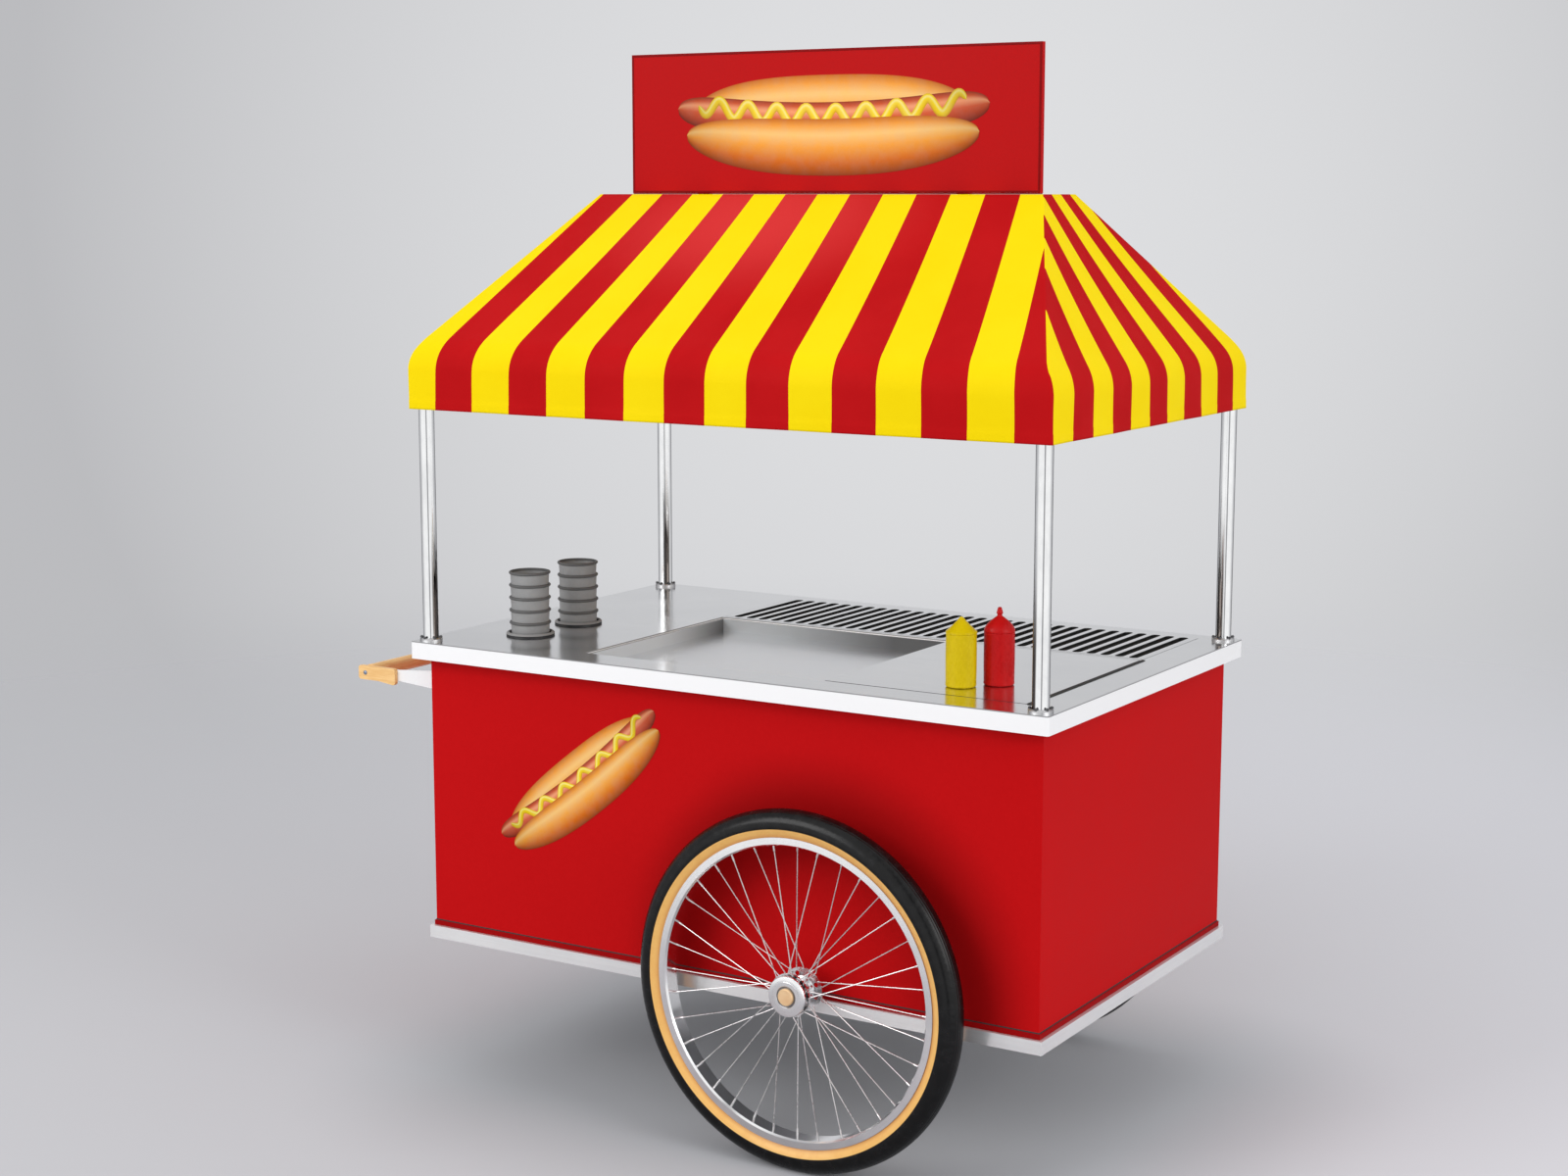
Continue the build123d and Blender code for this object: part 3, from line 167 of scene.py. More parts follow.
# Studio light. Three large soft boxes hang in front, at the right and above, and the room glows from
# overhead. Polished metal mirrors a grey far wall, a white wall on the camera's side with a grey gap in it,
# and two black flags between.
SOFT_BOXES = {
    "front_box": ((-2.2, -4.4, 3.0), (0.0, -0.3, 0.9), 2.8, 82.0),
    "right_box": ((4.9, -1.2, 2.4), (0.5, 0.0, 0.8), 2.4, 52.0),
    "top_box": ((0.4, 0.4, 5.4), (0.1, 0.0, 1.0), 2.6, 6.0),
}
GLOW_LOW, GLOW_HIGH, GLOW_RISE = (0.66, 0.66, 0.675), (0.89, 0.89, 0.915), (0.0, 0.5)
WALL_DIM, WALL_BRIGHT = (0.50, 0.502, 0.52), (0.735, 0.74, 0.755)
BRIGHT_SIDE, BRIGHT_EDGE = (-0.474, 0.880, 0.0), (0.94, 1.0)
WHITE_WALL, WHITE_SIDE, WHITE_EDGE = (1.0, 1.0, 1.0), (0.53, -0.85, 0.0), (-0.40, 0.42)
FLAG_BLACK, FLAG_START, FLAG_END = (0.10, 0.10, 0.105), (-0.92, -0.87), (-0.74, -0.66)
GAP_GREY, GAP_EDGE = (0.36, 0.36, 0.37), (0.984, 0.996)
for name, (place, target, size, power) in SOFT_BOXES.items():
    lamp = bpy.data.lights.new(name, "AREA")
    lamp.shape, lamp.size, lamp.energy = "SQUARE", size, power
    box = bpy.data.objects.new(name, lamp)
    box.location = place
    aim = np.subtract(target, place)
    box.rotation_euler = (math.atan2(math.hypot(aim[0], aim[1]), -aim[2]), 0, math.atan2(-aim[0], aim[1]))
    studio.collection.objects.link(box)
studio.world = bpy.data.worlds.new("studio_room")
studio.world.use_nodes = True
tree = studio.world.node_tree
tree.nodes.clear()
heading = node(tree, "TexCoord", pick="Generated")
pool = vectors("DOT_PRODUCT", heading, BRIGHT_SIDE)
wall = between(span(pool, *BRIGHT_EDGE, smooth=False), WALL_DIM, WALL_BRIGHT)
level = vectors("NORMALIZE", vectors("MULTIPLY", heading, (1, 1, 0)))
facing = vectors("DOT_PRODUCT", level, WHITE_SIDE)
flag = maths("MULTIPLY", span(facing, *FLAG_START), span(facing, *FLAG_END, 1.0, 0.0))
mirrored = between(span(facing, *WHITE_EDGE), wall, WHITE_WALL)
mirrored = between(flag, mirrored, FLAG_BLACK)
mirrored = between(span(facing, *GAP_EDGE), mirrored, GAP_GREY)
ray = node(tree, "LightPath").node.outputs
sharp_ray = maths("MAXIMUM", ray["Is Glossy Ray"], ray["Is Transmission Ray"])
height = node(tree, "SeparateXYZ", {0: heading}, "Z")
glow = between(span(height, *GLOW_RISE), GLOW_LOW, GLOW_HIGH)
room = between(ray["Is Camera Ray"], between(sharp_ray, glow, mirrored), wall)
node(tree, "OutputWorld", {"Surface": node(tree, "Background", {"Color": room, "Strength": 1.0})})

# Base frame. A ring of bright stainless channel that the cabinet stands on, welded at its corners and buffed
# along its length, with two flat tubes across it.
CHANNEL = (0.96, 0.96, 0.955), (0.86, 0.865, 0.87)


def placed(tree, scale=(1, 1, 1), centre=(0, 0, 0)):
    """The piece's own coordinates, measured from a centre and stretched."""
    shift = tuple(-middle * stretch for middle, stretch in zip(centre, scale))
    return node(tree, "Mapping", {"Vector": own(tree), "Location": shift, "Scale": scale})


def noise(place, scale=1.0, detail=3.0, roughness=0.55):
    """Soft random value from 0 to 1 that changes over a place."""
    feeds = {"Vector": place, "Scale": scale, "Detail": detail, "Roughness": roughness}
    return node(place.id_data, "TexNoise", feeds)


def start_finish(name, **plain):
    """New finish: its material and its node tree, with plain values on its shader's own sockets."""
    finish = bpy.data.materials.new(name)
    finish.use_nodes = True
    for socket, value in plain.items():
        finish.node_tree.nodes["Principled BSDF"].inputs[socket.replace("_", " ")].default_value = value
    return finish, finish.node_tree


def lay_on(height, depth, **feeds):
    """Feeds the sockets of a finish's shader, and tilts its shading as a surface would be whose height
    changes by a depth in metres."""
    tree = height.id_data
    feeds["Normal"] = node(tree, "Bump", {"Height": height, "Distance": depth, "Strength": 1.0})
    for socket, feed in feeds.items():
        tree.links.new(feed, tree.nodes["Principled BSDF"].inputs[socket.replace("_", " ")])


def worked_finish(name, tones, cloud, grain, rough, depth, **plain):
    """Finish of a worked surface. A slow cloud and a fine grain, stretched the way the surface was rubbed,
    cast or sprayed, together move its colour between a pale and a deep tone and its roughness between two
    values, and the grain alone gives its relief. Cloud and grain are in cycles per metre, the grain in all
    directions or each."""
    finish, tree = start_finish(name, **plain)
    slow = noise(placed(tree), cloud, 4.0)
    fine = noise(placed(tree, np.broadcast_to(grain, 3).tolist()), 1.0, 3.0)
    share = span(node(tree, "Mix", {0: 0.4, 2: slow, 3: fine}), 0.3, 0.7)
    lay_on(fine, depth, Base_Color=between(share, *tones[::-1]), Roughness=span(share, 0, 1, *rough))
    return finish


def overlay(finish, share, colour):
    """Lays a second colour over a finish's own, as a share goes from 0 to 1."""
    tree = finish.node_tree
    base = tree.nodes["Principled BSDF"].inputs["Base Color"]
    tree.links.new(between(share, base.links[0].from_socket, colour), base)


def dress(finish, *names):
    """Gives CAD nodes a finish."""
    for name in names:
        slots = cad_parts[name].data.materials
        slots.clear()
        slots.append(finish)


dress(worked_finish("buffed_channel", CHANNEL, cloud=3.0, grain=(6, 6, 520),
                    rough=(0.16, 0.27), depth=0.00002, Metallic=0.6),
      "base_frame")

# Cabinet. Four flat steel sheets sprayed with red enamel, fixed to angle posts inside and standing on the
# base frame, with a plain galvanised floor. A folded hem runs round the foot of the sheets, a deeper red as
# painted shade, with a thin black strip over it as a painted shadow line. Painted shade darkens the enamel in
# a ring round each wheel.
ENAMEL = (0.585, 0.0065, 0.008), (0.545, 0.0055, 0.007)
WHEEL_SHADE_RED, WHEEL_SHADE_MIDDLE = (0.17, 0.0022, 0.0026), (0.334, 0.0, 0.350)
WHEEL_SHADE_RISE, WHEEL_SHADE_FALL, WHEEL_SHADE_SHARE = (0.08, 0.32), (0.33, 0.47), 0.55
HEM_SHADED_RED = (0.36, 0.0045, 0.0055), (0.31, 0.0040, 0.0050)
HEM_SECTION = ((0.0001, 0.3222), (0.0026, 0.3222), (0.0030, 0.3227), (0.0030, 0.3317), (0.0025, 0.3323),
               (0.0001, 0.3324))
SHADOW_LINE_SECTION = ((0.0001, 0.3325), (0.0010, 0.3325), (0.0008, 0.3338), (0.0001, 0.3346))
ZINC, SEAM_REACH = ((0.60, 0.61, 0.62), (0.40, 0.41, 0.42)), 0.000002
RUBBER = (0.030, 0.030, 0.031), (0.016, 0.016, 0.017)
red_enamel = worked_finish("red_enamel", ENAMEL, cloud=1.6, grain=170,
                           rough=(0.40, 0.50), depth=0.00006, Specular_IOR_Level=0.02)
tree = red_enamel.node_tree
# Painted shade: the enamel darkens in a ring round the axle's line, where the wheel would shade the panel.
from_axle = vectors("LENGTH", placed(tree, (1, 0, 1), WHEEL_SHADE_MIDDLE))
painted_wheel_shade = maths("MULTIPLY", span(from_axle, *WHEEL_SHADE_RISE, 0.0, WHEEL_SHADE_SHARE),
              span(from_axle, *WHEEL_SHADE_FALL, 1.0, 0.0))
overlay(red_enamel, painted_wheel_shade, WHEEL_SHADE_RED)
dress(red_enamel, "front_panel", "back_panel", "left_panel", "right_panel", "door")
dress(worked_finish("galvanised", ZINC, cloud=14.0, grain=90,
                    rough=(0.34, 0.52), depth=0.00005, Metallic=1.0),
      "cabinet_floor", "corner_posts", "leg_bracket", "drop_leg")
soft_black = worked_finish("soft_black", RUBBER, cloud=40.0, grain=500, rough=(0.6, 0.75), depth=0.0001)
# The hem's red, deeper than the panels' enamel, is painted shade.
shaded_hem_enamel = worked_finish("shaded_hem_enamel", HEM_SHADED_RED, cloud=4.0, grain=170,
                           rough=(0.40, 0.50), depth=0.00006, Specular_IOR_Level=0.02)
cabinet_low = np.minimum(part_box("left_panel")[0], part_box("front_panel")[0])
cabinet_high = np.maximum(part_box("right_panel")[1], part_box("back_panel")[1])


def fit(piece, body, stands_for=None):
    """Merges the points that meet at a piece's seams and poles and turns every face outwards. Then says which
    body it rides on and which CAD node it stands for."""
    work = bmesh.new()
    work.from_mesh(piece.data)
    bmesh.ops.remove_doubles(work, verts=work.verts, dist=SEAM_REACH)
    bmesh.ops.recalc_face_normals(work, faces=work.faces)
    work.to_mesh(piece.data)
    work.free()
    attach(piece, body)
    if stands_for:
        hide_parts(stands_for)


def band(low, high, section):
    """A section carried round an upright box: each of its (out, up) pairs is a rectangle that stands that far
    out from the box's four sides at that height."""
    out, up = np.array(section).T[:, :, None, None]
    corners = np.array(((-1, -1, 0), (1, -1, 0), (1, 1, 0), (-1, 1, 0)))
    return np.add(low, high) / 2 * (1, 1, 0) + corners * (np.subtract(high, low) / 2 + out) + up * (0, 0, 1)


# The thin black strip over the hem stands for the shadow line above it: painted shadow.
for name, section, finish, slot in (("cabinet_hem", HEM_SECTION, shaded_hem_enamel, "red_paint"),
                                    ("cabinet_shadow_line", SHADOW_LINE_SECTION, soft_black, "black_rubber")):
    fit(new_piece(name, band(cabinet_low, cabinet_high, section), finish, 30.0, True, True), "cart")

# Axle. A turned steel shaft in two cast pillow blocks on the cabinet's floor. Each end runs in two sealed
# bearings and carries a warm brass cap outside the hub.
TURNED = (0.74, 0.74, 0.75), (0.58, 0.58, 0.60)
CAST = (0.075, 0.08, 0.085), (0.035, 0.038, 0.042)
SHIELD = (0.30, 0.30, 0.31), (0.17, 0.17, 0.18)
BRASS = (0.98, 0.70, 0.41), (0.92, 0.58, 0.30)
turned_steel = worked_finish("turned_steel", TURNED, cloud=8.0, grain=(30, 900, 30),
                             rough=(0.20, 0.34), depth=0.00003, Metallic=1.0)
dress(turned_steel, "axle", "leg_pin")
cast_iron = worked_finish("cast_iron", CAST, cloud=30.0, grain=420, rough=(0.55, 0.75), depth=0.0004)
dress(cast_iron, "axle_blocks")
dress(worked_finish("bearing_shield", SHIELD, cloud=40.0, grain=300,
                    rough=(0.30, 0.45), depth=0.00003, Metallic=1.0),
      "front_wheel_bearings", "back_wheel_bearings")
dress(worked_finish("satin_brass", BRASS, cloud=25.0, grain=(60, 700, 60),
                    rough=(0.30, 0.42), depth=0.00003, Metallic=0.5),
      "axle_caps", "gas_manifold")

# Tyres. Moulded black rubber with a tan side wall, stretched over each rim; the tan is darker towards the rim
# as painted shade. The crown has six fine ribs round it and short cuts across its shoulders.
AXLE_X, AXLE_Z = 0.314, 0.350
WHEEL_Y = {"front_wheel": -0.487, "back_wheel": 0.487}
TYRE_MID_R, TYRE_TUBE_R, TYRE_AROUND, TUBE_STEPS = 0.32226, 0.02774, 640, 108
TYRE_BEAD = ((0.2942, 0.0178), (0.2988, 0.0179), (0.2998, 0.0182), (0.3070, 0.0224))
TYRE_LEAVE = (-0.00826, 0.02648)
RIB_PITCH, RIB_DEPTH, RIB_HALF = 0.0050, 0.0005, 0.0150
CUTS_AROUND, CUT_DEPTH, CUT_AT, CUT_REACH = 160, 0.0005, 0.0205, 0.0030
TAN_START, TAN_SHADE_RISE, TAN_END = (0.2986, 0.2995), (0.2990, 0.3080), (0.3150, 0.3159)
TYRE_BLACK = (0.003, 0.003, 0.0032), (0.007, 0.007, 0.0075)
WALL_TAN, WALL_TAN_SHADED = ((0.95, 0.55, 0.165), (0.91, 0.50, 0.14)), (0.76, 0.36, 0.11)


def tyre_points(y):
    """A closed tyre section carried round the axle. The section is a bead, a round tube and the other bead.
    Near the crown the tube sinks by a cosine of the distance across, which makes ribs, and on the shoulders
    by a cosine of the turn, which makes cuts."""
    bead = np.array(TYRE_BEAD)
    first = math.atan2(TYRE_LEAVE[1], TYRE_LEAVE[0])
    swing = np.linspace(first, -first, TUBE_STEPS)
    tube = np.stack((TYRE_MID_R + TYRE_TUBE_R * np.cos(swing), TYRE_TUBE_R * np.sin(swing)), 1)
    radius, across = np.concatenate((bead, tube, bead[::-1] * (1, -1))).T[:, :, None]
    turn = np.linspace(0, 2 * np.pi, TYRE_AROUND, endpoint=False)[None, :]
    ribs = RIB_DEPTH * (0.5 - 0.5 * np.cos(2 * np.pi * across / RIB_PITCH)) ** 3 * (np.abs(across) < RIB_HALF)
    edge = np.exp(-((np.abs(across) - CUT_AT) / CUT_REACH) ** 2)
    cuts = CUT_DEPTH * edge * (0.5 + 0.5 * np.cos(CUTS_AROUND * turn)) ** 4
    radius = radius - (radius > TYRE_MID_R) * (ribs + cuts)
    tyre = np.stack((radius * np.cos(turn), across + 0 * radius, radius * np.sin(turn)), -1)
    return tyre + (AXLE_X, y, AXLE_Z)


tyre_rubber, tree = start_finish("tyre_rubber", Specular_IOR_Level=0.26)
from_axle = vectors("LENGTH", placed(tree, (1, 0, 1), (AXLE_X, 0, AXLE_Z)))
in_band = maths("MULTIPLY", span(from_axle, *TAN_END, 1.0, 0.0), span(from_axle, *TAN_START))
scuff = span(noise(placed(tree), 60.0, 5.0), 0.35, 0.7)
# Painted shade: the tan darkens towards the rim.
tan = between(span(from_axle, *TAN_SHADE_RISE), WALL_TAN_SHADED, between(scuff, *WALL_TAN))
lay_on(noise(placed(tree), 900.0, 2.0), 0.00008, Roughness=span(scuff, 0, 1, 0.20, 0.28),
       Base_Color=between(in_band, between(scuff, *TYRE_BLACK), tan))
for body, y in WHEEL_Y.items():
    tyre = new_piece(f"{body}_tyre_rubber", tyre_points(y), tyre_rubber, 40.0, True, True)
    fit(tyre, body, f"{body}_tyre")

# Rims and hubs. Each rim is rolled from bright alloy strip. Each hub is turned from alloy bar, and a pressed
# cover with a bevelled edge and an open middle is pushed over its outer end.
ALLOY = (0.93, 0.93, 0.94), (0.80, 0.805, 0.815)
COVER_SECTION = (
    (0.0205, 0.0372), (0.0205, 0.0386), (0.0211, 0.0391), (0.0284, 0.0391), (0.0290, 0.0387),
    (0.0358, 0.0385), (0.0385, 0.0376), (0.0395, 0.0362), (0.0395, 0.0320), (0.0253, 0.0320),
    (0.0253, 0.0372),
)
COVER_AROUND = 96
rolled_alloy, tree = start_finish("rolled_alloy", Metallic=1.0)
radius = vectors("LENGTH", placed(tree, (1, 0, 1), (AXLE_X, 0, AXLE_Z)))
turning = noise(node(tree, "CombineXYZ", {0: radius, 1: own(tree, "Y")}), 1400.0, 2.0)
polish = span(node(tree, "Mix", {0: 0.5, 2: turning, 3: noise(placed(tree), 14.0)}), 0.32, 0.68)
lay_on(turning, 0.00002, Base_Color=between(polish, *ALLOY[::-1]), Roughness=span(polish, 0, 1, 0.10, 0.19))
for body, y in WHEEL_Y.items():
    dress(rolled_alloy, f"{body}_rim", f"{body}_hub")
    points = turned(COVER_SECTION, COVER_AROUND, [(AXLE_X, y, AXLE_Z)], (0, math.copysign(1, y), 0))
    fit(new_piece(f"{body}_hub_cover", points, rolled_alloy, 25.0, True, True), body)

# Spokes. Thirty-six drawn steel wires to a wheel, laced one-cross. Each has a button head and an elbow in the
# hub's flange, and a brass-plated nipple that pulls it tight at the rim.
SPOKE_R, SPOKE_POINT_R, SPOKE_SIDES, SPOKE_SETS, SPOKE_LEAN = 0.0011, 0.00002, 8, 9, math.radians(20)
HUB_CIRCLE_R, HUB_FLANGE_Y, ELBOW_Y, ELBOW_BEND, ELBOW_STEPS = 0.038, 0.024, 0.0033, 0.0026, 6
RIM_END_R, RIM_END_Y = 0.286, 0.003
HEAD_R, HEAD_TOP, HEAD_FOOT = 0.0021, 0.0009, -0.0002
NIPPLE_R, NIPPLE_NECK_R, NIPPLE_L, NIPPLE_BEVEL = 0.0021, 0.00168, 0.0165, 0.001
WIRE = (0.84, 0.83, 0.83), (0.66, 0.65, 0.65)


def spoke_points():
    """Tubes along thirty-six bent lines at once, in an array of spoke, place along it, and turn round it. A
    line runs from its head straight through the flange, round a short parabola at the elbow, and straight to
    the rim. One side of the tube's frame is square to both straight runs, so the tube never twists."""
    sets = np.meshgrid((-1, 1), (-1, 1), np.arange(SPOKE_SETS), indexing="ij")
    side, lean, count = (values.ravel() for values in sets)
    step = 2 * np.pi / SPOKE_SETS
    turn = (side + 1) / 2 * step / 4 + (lean + 1) / 2 * step / 2 + count * step
    hub_turn = turn - lean * SPOKE_LEAN
    corner = np.stack((HUB_CIRCLE_R * np.cos(hub_turn), side * (HUB_FLANGE_Y + lean * ELBOW_Y),
                       HUB_CIRCLE_R * np.sin(hub_turn)), -1)[:, None]
    end = np.stack((RIM_END_R * np.cos(turn), side * RIM_END_Y, RIM_END_R * np.sin(turn)), -1)[:, None]
    inward = (side * lean)[:, None, None] * (0, 1, 0)
    outward = (end - corner) / np.linalg.norm(end - corner, axis=2, keepdims=True)
    bend = np.linspace(0, 1, ELBOW_STEPS)[:, None]
    first, last = corner - inward * ELBOW_BEND, corner + outward * ELBOW_BEND
    elbow = (1 - bend) ** 2 * first + 2 * bend * (1 - bend) * corner + bend ** 2 * last
    elbow_way = (1 - bend) * inward + bend * outward
    elbow_way /= np.linalg.norm(elbow_way, axis=2, keepdims=True)
    head = 2 * ELBOW_Y + np.repeat((HEAD_TOP, HEAD_FOOT), 2)[:, None]
    tail = np.array((NIPPLE_L, NIPPLE_L, NIPPLE_L - NIPPLE_BEVEL, 0.0, 0.0))[:, None]
    line = np.concatenate((corner - inward * head, elbow, end - outward * tail), 1)
    way = np.concatenate((np.repeat(inward, len(head), 1), elbow_way, np.repeat(outward, len(tail), 1)), 1)
    radii = np.array([SPOKE_POINT_R, HEAD_R, HEAD_R] + [SPOKE_R] * (ELBOW_STEPS + 2)
                     + [NIPPLE_NECK_R, NIPPLE_R, NIPPLE_R, SPOKE_POINT_R])[:, None, None]
    square = np.cross(inward, outward)
    square = np.broadcast_to(square / np.linalg.norm(square, axis=2, keepdims=True), way.shape)
    other = np.cross(way, square)
    round_turn = np.linspace(0, 2 * np.pi, SPOKE_SIDES, endpoint=False)[:, None]
    ring = np.cos(round_turn) * square[:, :, None] + np.sin(round_turn) * other[:, :, None]
    return line[:, :, None] + radii * ring


spoke_wire = worked_finish("spoke_wire", WIRE, cloud=40.0, grain=260,
                           rough=(0.24, 0.36), depth=0.00002, Metallic=1.0)
for body, y in WHEEL_Y.items():
    half_turn = (1, 1, 1) if y < 0 else (-1, -1, 1)
    wires = new_piece(f"{body}_spoke_wires", spoke_points() * half_turn + (AXLE_X, y, AXLE_Z), spoke_wire)
    fit(wires, body, f"{body}_spokes")

# Worktop, well and grill. Brushed stainless sheet: the top is a tray folded down all round, whose folded edge
# is painted white, with a shallow pan, a flush sliding lid and a loose slotted plate let into it. Black
# strips lie on the pan's ledge round the lid, and a flat one beside the lid's end, as painted shade in the
# gap.
# The pan's upright faces darken towards the lid and the grill, and the upright faces of the lid and slotted
# plate are near black, all as painted shade.
STEEL, STEEL_POLISH = ((0.72, 0.725, 0.735), (0.88, 0.885, 0.89)), (0.13, 0.21)
PAN_STEEL, PAN_POLISH = ((0.84, 0.85, 0.87), (0.97, 0.975, 0.98)), (0.21, 0.27)
CUT_GREY, EDGE_WHITE, UPRIGHT_SHADE_BLACK = (0.30, 0.30, 0.305), (0.97, 0.97, 0.97), (0.012, 0.012, 0.013)
PAN_PALE, PAN_SHADED = (0.74, 0.79, 0.825), (0.060, 0.061, 0.063)
PAN_SHADE_X, PAN_SHADE_Y = (-0.38, 0.18), (-0.16, 0.19)
UPRIGHT, UPRIGHT_METAL, UPRIGHT_ROUGH = (0.4, 0.7), 0.1, 0.42
TRAY_UNDER, NO_CUT, CUT_FADE = 0.9226, 1.0, 0.0004
GAP_SHADE_SECTION = ((-0.0011, 0.0), (-0.0011, 0.0021), (-0.0007, 0.0026),
                (0.0007, 0.0026), (0.0011, 0.0021), (0.0011, 0.0))
GAP_SHADE_PATH = ((0.310, 0.1245, 0.9221), (0.7285, 0.1245, 0.9221), (0.7285, -0.3765, 0.9221),
             (0.310, -0.3765, 0.9221))
END_SHADE_SECTION = ((-0.0040, 0.0), (-0.0040, 0.0008), (-0.0030, 0.0014),
                (0.0030, 0.0014), (0.0040, 0.0008), (0.0040, 0.0))
END_SHADE_PATH = ((0.7346, 0.126, 0.9251), (0.7346, -0.378, 0.9251))


def brushed_sheet(name, pale, dark, edges_below, steel=STEEL, polish=STEEL_POLISH):
    """Sheet steel brushed along its length. Faces that look up keep the brushed colour. Upright faces have a
    satin colour of their own, pale, which painted shade darkens: towards the lid on those that face across
    the cart, and towards the grill on those that face along it. Above a height they are the sheet's dull cut
    edges."""
    finish, tree = start_finish(name)
    streak = noise(placed(tree, (5, 420, 90)), 1.0, 4.0, 0.6)
    cloud = noise(placed(tree), 5.0, 4.0)
    share = span(node(tree, "Mix", {0: 0.55, 2: cloud, 3: streak}), 0.3, 0.7)
    heading = vectors("ABSOLUTE", node(tree, "TexCoord", pick="Normal"))
    heading = node(tree, "SeparateXYZ", {0: heading}).node.outputs
    flat = span(heading["Z"], *UPRIGHT)
    # Painted shade: upright faces darken towards the lid and towards the grill.
    painted_darkening = node(tree, "Mix", {0: span(heading["Y"], *UPRIGHT), 2: span(own(tree, "Y"), *PAN_SHADE_Y),
                               3: span(own(tree, "X"), *PAN_SHADE_X, smooth=False)})
    cut = span(own(tree, "Z"), edges_below, edges_below + CUT_FADE)
    edge = between(cut, between(painted_darkening, pale, dark), CUT_GREY)
    worn = node(tree, "Mix", {0: flat, 2: UPRIGHT_ROUGH, 3: span(share, 0, 1, *polish)})
    lay_on(streak, 0.00001, Base_Color=between(flat, edge, between(share, *steel)),
           Metallic=span(flat, 0, 1, UPRIGHT_METAL, 1.0), Roughness=worn)
    return finish


dress(brushed_sheet("brushed_top", EDGE_WHITE, EDGE_WHITE, TRAY_UNDER), "worktop")
dress(brushed_sheet("brushed_pan", PAN_PALE, PAN_SHADED, NO_CUT, PAN_STEEL, PAN_POLISH), "well_pan")
# The upright faces of the lid and the slotted plate are near black: painted shade in the gap and the slots.
dress(brushed_sheet("brushed_plate", UPRIGHT_SHADE_BLACK, UPRIGHT_SHADE_BLACK, NO_CUT), "grill_plate", "well_lid")
# Black strips in the gap round the lid and beside its end: painted shade.
for name, section, path in (("lid_gap_shade", GAP_SHADE_SECTION, GAP_SHADE_PATH), ("lid_end_shade", END_SHADE_SECTION, END_SHADE_PATH)):
    run = np.array(path)
    run = np.concatenate((run[:1], run, run[-1:]))
    step = np.diff(run[1:-1, :2], axis=0)
    square = np.stack((step[:, 1], -step[:, 0]), 1) / np.linalg.norm(step, axis=1, keepdims=True)
    mitre = np.concatenate((square[:1], square[:1], square[:-1] + square[1:], square[-1:], square[-1:]))
    across, up = np.array(section).T[:, :, None] * np.array((0,) + (1,) * len(path) + (0,))
    points = np.stack((run[:, 0] + mitre[:, 0] * across, run[:, 1] + mitre[:, 1] * across,
                       run[:, 2] + up), -1)
    fit(new_piece(name, points, soft_black, 30.0, True, False), "cart")

# Gas parts. The firebox under the slots is sheet steel gone dark with heat, the burners are cast iron, and
# the taps have moulded black knobs, each with a white line printed on its grip.
SOOT = (0.060, 0.058, 0.056), (0.022, 0.021, 0.020)
KNOB_BLACK = (0.044, 0.044, 0.047), (0.028, 0.028, 0.030)
MARK_INK = (0.88, 0.88, 0.86), (0.74, 0.74, 0.71)
MARK_HALF_W, MARK_LIFT, MARK_REACH, MARK_ROWS, MARK_COLUMNS = 0.0011, 0.0003, (0.004, 0.0165), 14, 7
dress(worked_finish("sooted_sheet", SOOT, cloud=22.0, grain=160,
                    rough=(0.55, 0.8), depth=0.0002), "grill_box")
dress(cast_iron, "burners")
dress(worked_finish("moulded_black", KNOB_BLACK, cloud=30.0, grain=700,
                    rough=(0.38, 0.5), depth=0.00005), "left_knob", "right_knob")
white_ink = worked_finish("white_ink", MARK_INK, cloud=50.0, grain=900, rough=(0.45, 0.6), depth=0.00002)
for name, body in (("left_knob", "left_tap"), ("right_knob", "right_tap")):
    low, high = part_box(name)
    middle_x, middle_z = (low.x + high.x) / 2, (low.z + high.z) / 2
    across, up = np.meshgrid(np.linspace(-1, 1, MARK_COLUMNS), np.linspace(*MARK_REACH, MARK_ROWS))
    dome = high.y + MARK_LIFT * (1 - across ** 2)
    points = np.stack((middle_x + MARK_HALF_W * across, dome, middle_z + up), -1)
    mark = new_piece(f"{name}_mark", points, white_ink, 40.0, False, False)
    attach(mark, body)

# Vendor's door. A folded sheet with the cabinet's red enamel, hung on two lift-off steel hinges whose leaves
# are screwed to the back panel, with a bent chrome pull.
CHROME = (0.93, 0.935, 0.94), (0.80, 0.805, 0.815)
CHROME_WORK = dict(cloud=9.0, grain=(130, 130, 40), rough=(0.04, 0.10), depth=0.000008)
SCREW_STEEL = (0.62, 0.63, 0.65), (0.42, 0.43, 0.45)
SCREW_SECTION = ((0.0, 0.0012), (0.0009, 0.0013), (0.0010, 0.0021),
                 (0.0022, 0.0018), (0.0033, 0.0010), (0.0038, 0.0))
SCREW_SIDES = 24
BACK_FACE_Y, LEAF_T, LEAF_H, LEAF_SCREWS = 0.421, 0.0035, 0.050, ((0.009, 0.006), (0.020, 0.0185))
dress(worked_finish("chrome", CHROME, **CHROME_WORK, Metallic=1.0), "door_pull")
dress(turned_steel, "door_hinges", "hinge_sockets")
bright_screw = worked_finish("bright_screw", SCREW_STEEL, cloud=60.0, grain=400,
                             rough=(0.22, 0.36), depth=0.00003, Metallic=1.0)
hinge_low, hinge_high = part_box("door_hinges")
screw_places = [(hinge_low.x + along, BACK_FACE_Y + LEAF_T, start + up)
                for start in (hinge_low.z, hinge_high.z - LEAF_H) for along, up in LEAF_SCREWS]
points = turned(SCREW_SECTION, SCREW_SIDES, screw_places, (0, 1, 0))
fit(new_piece("hinge_screws", points, bright_screw), "cart")

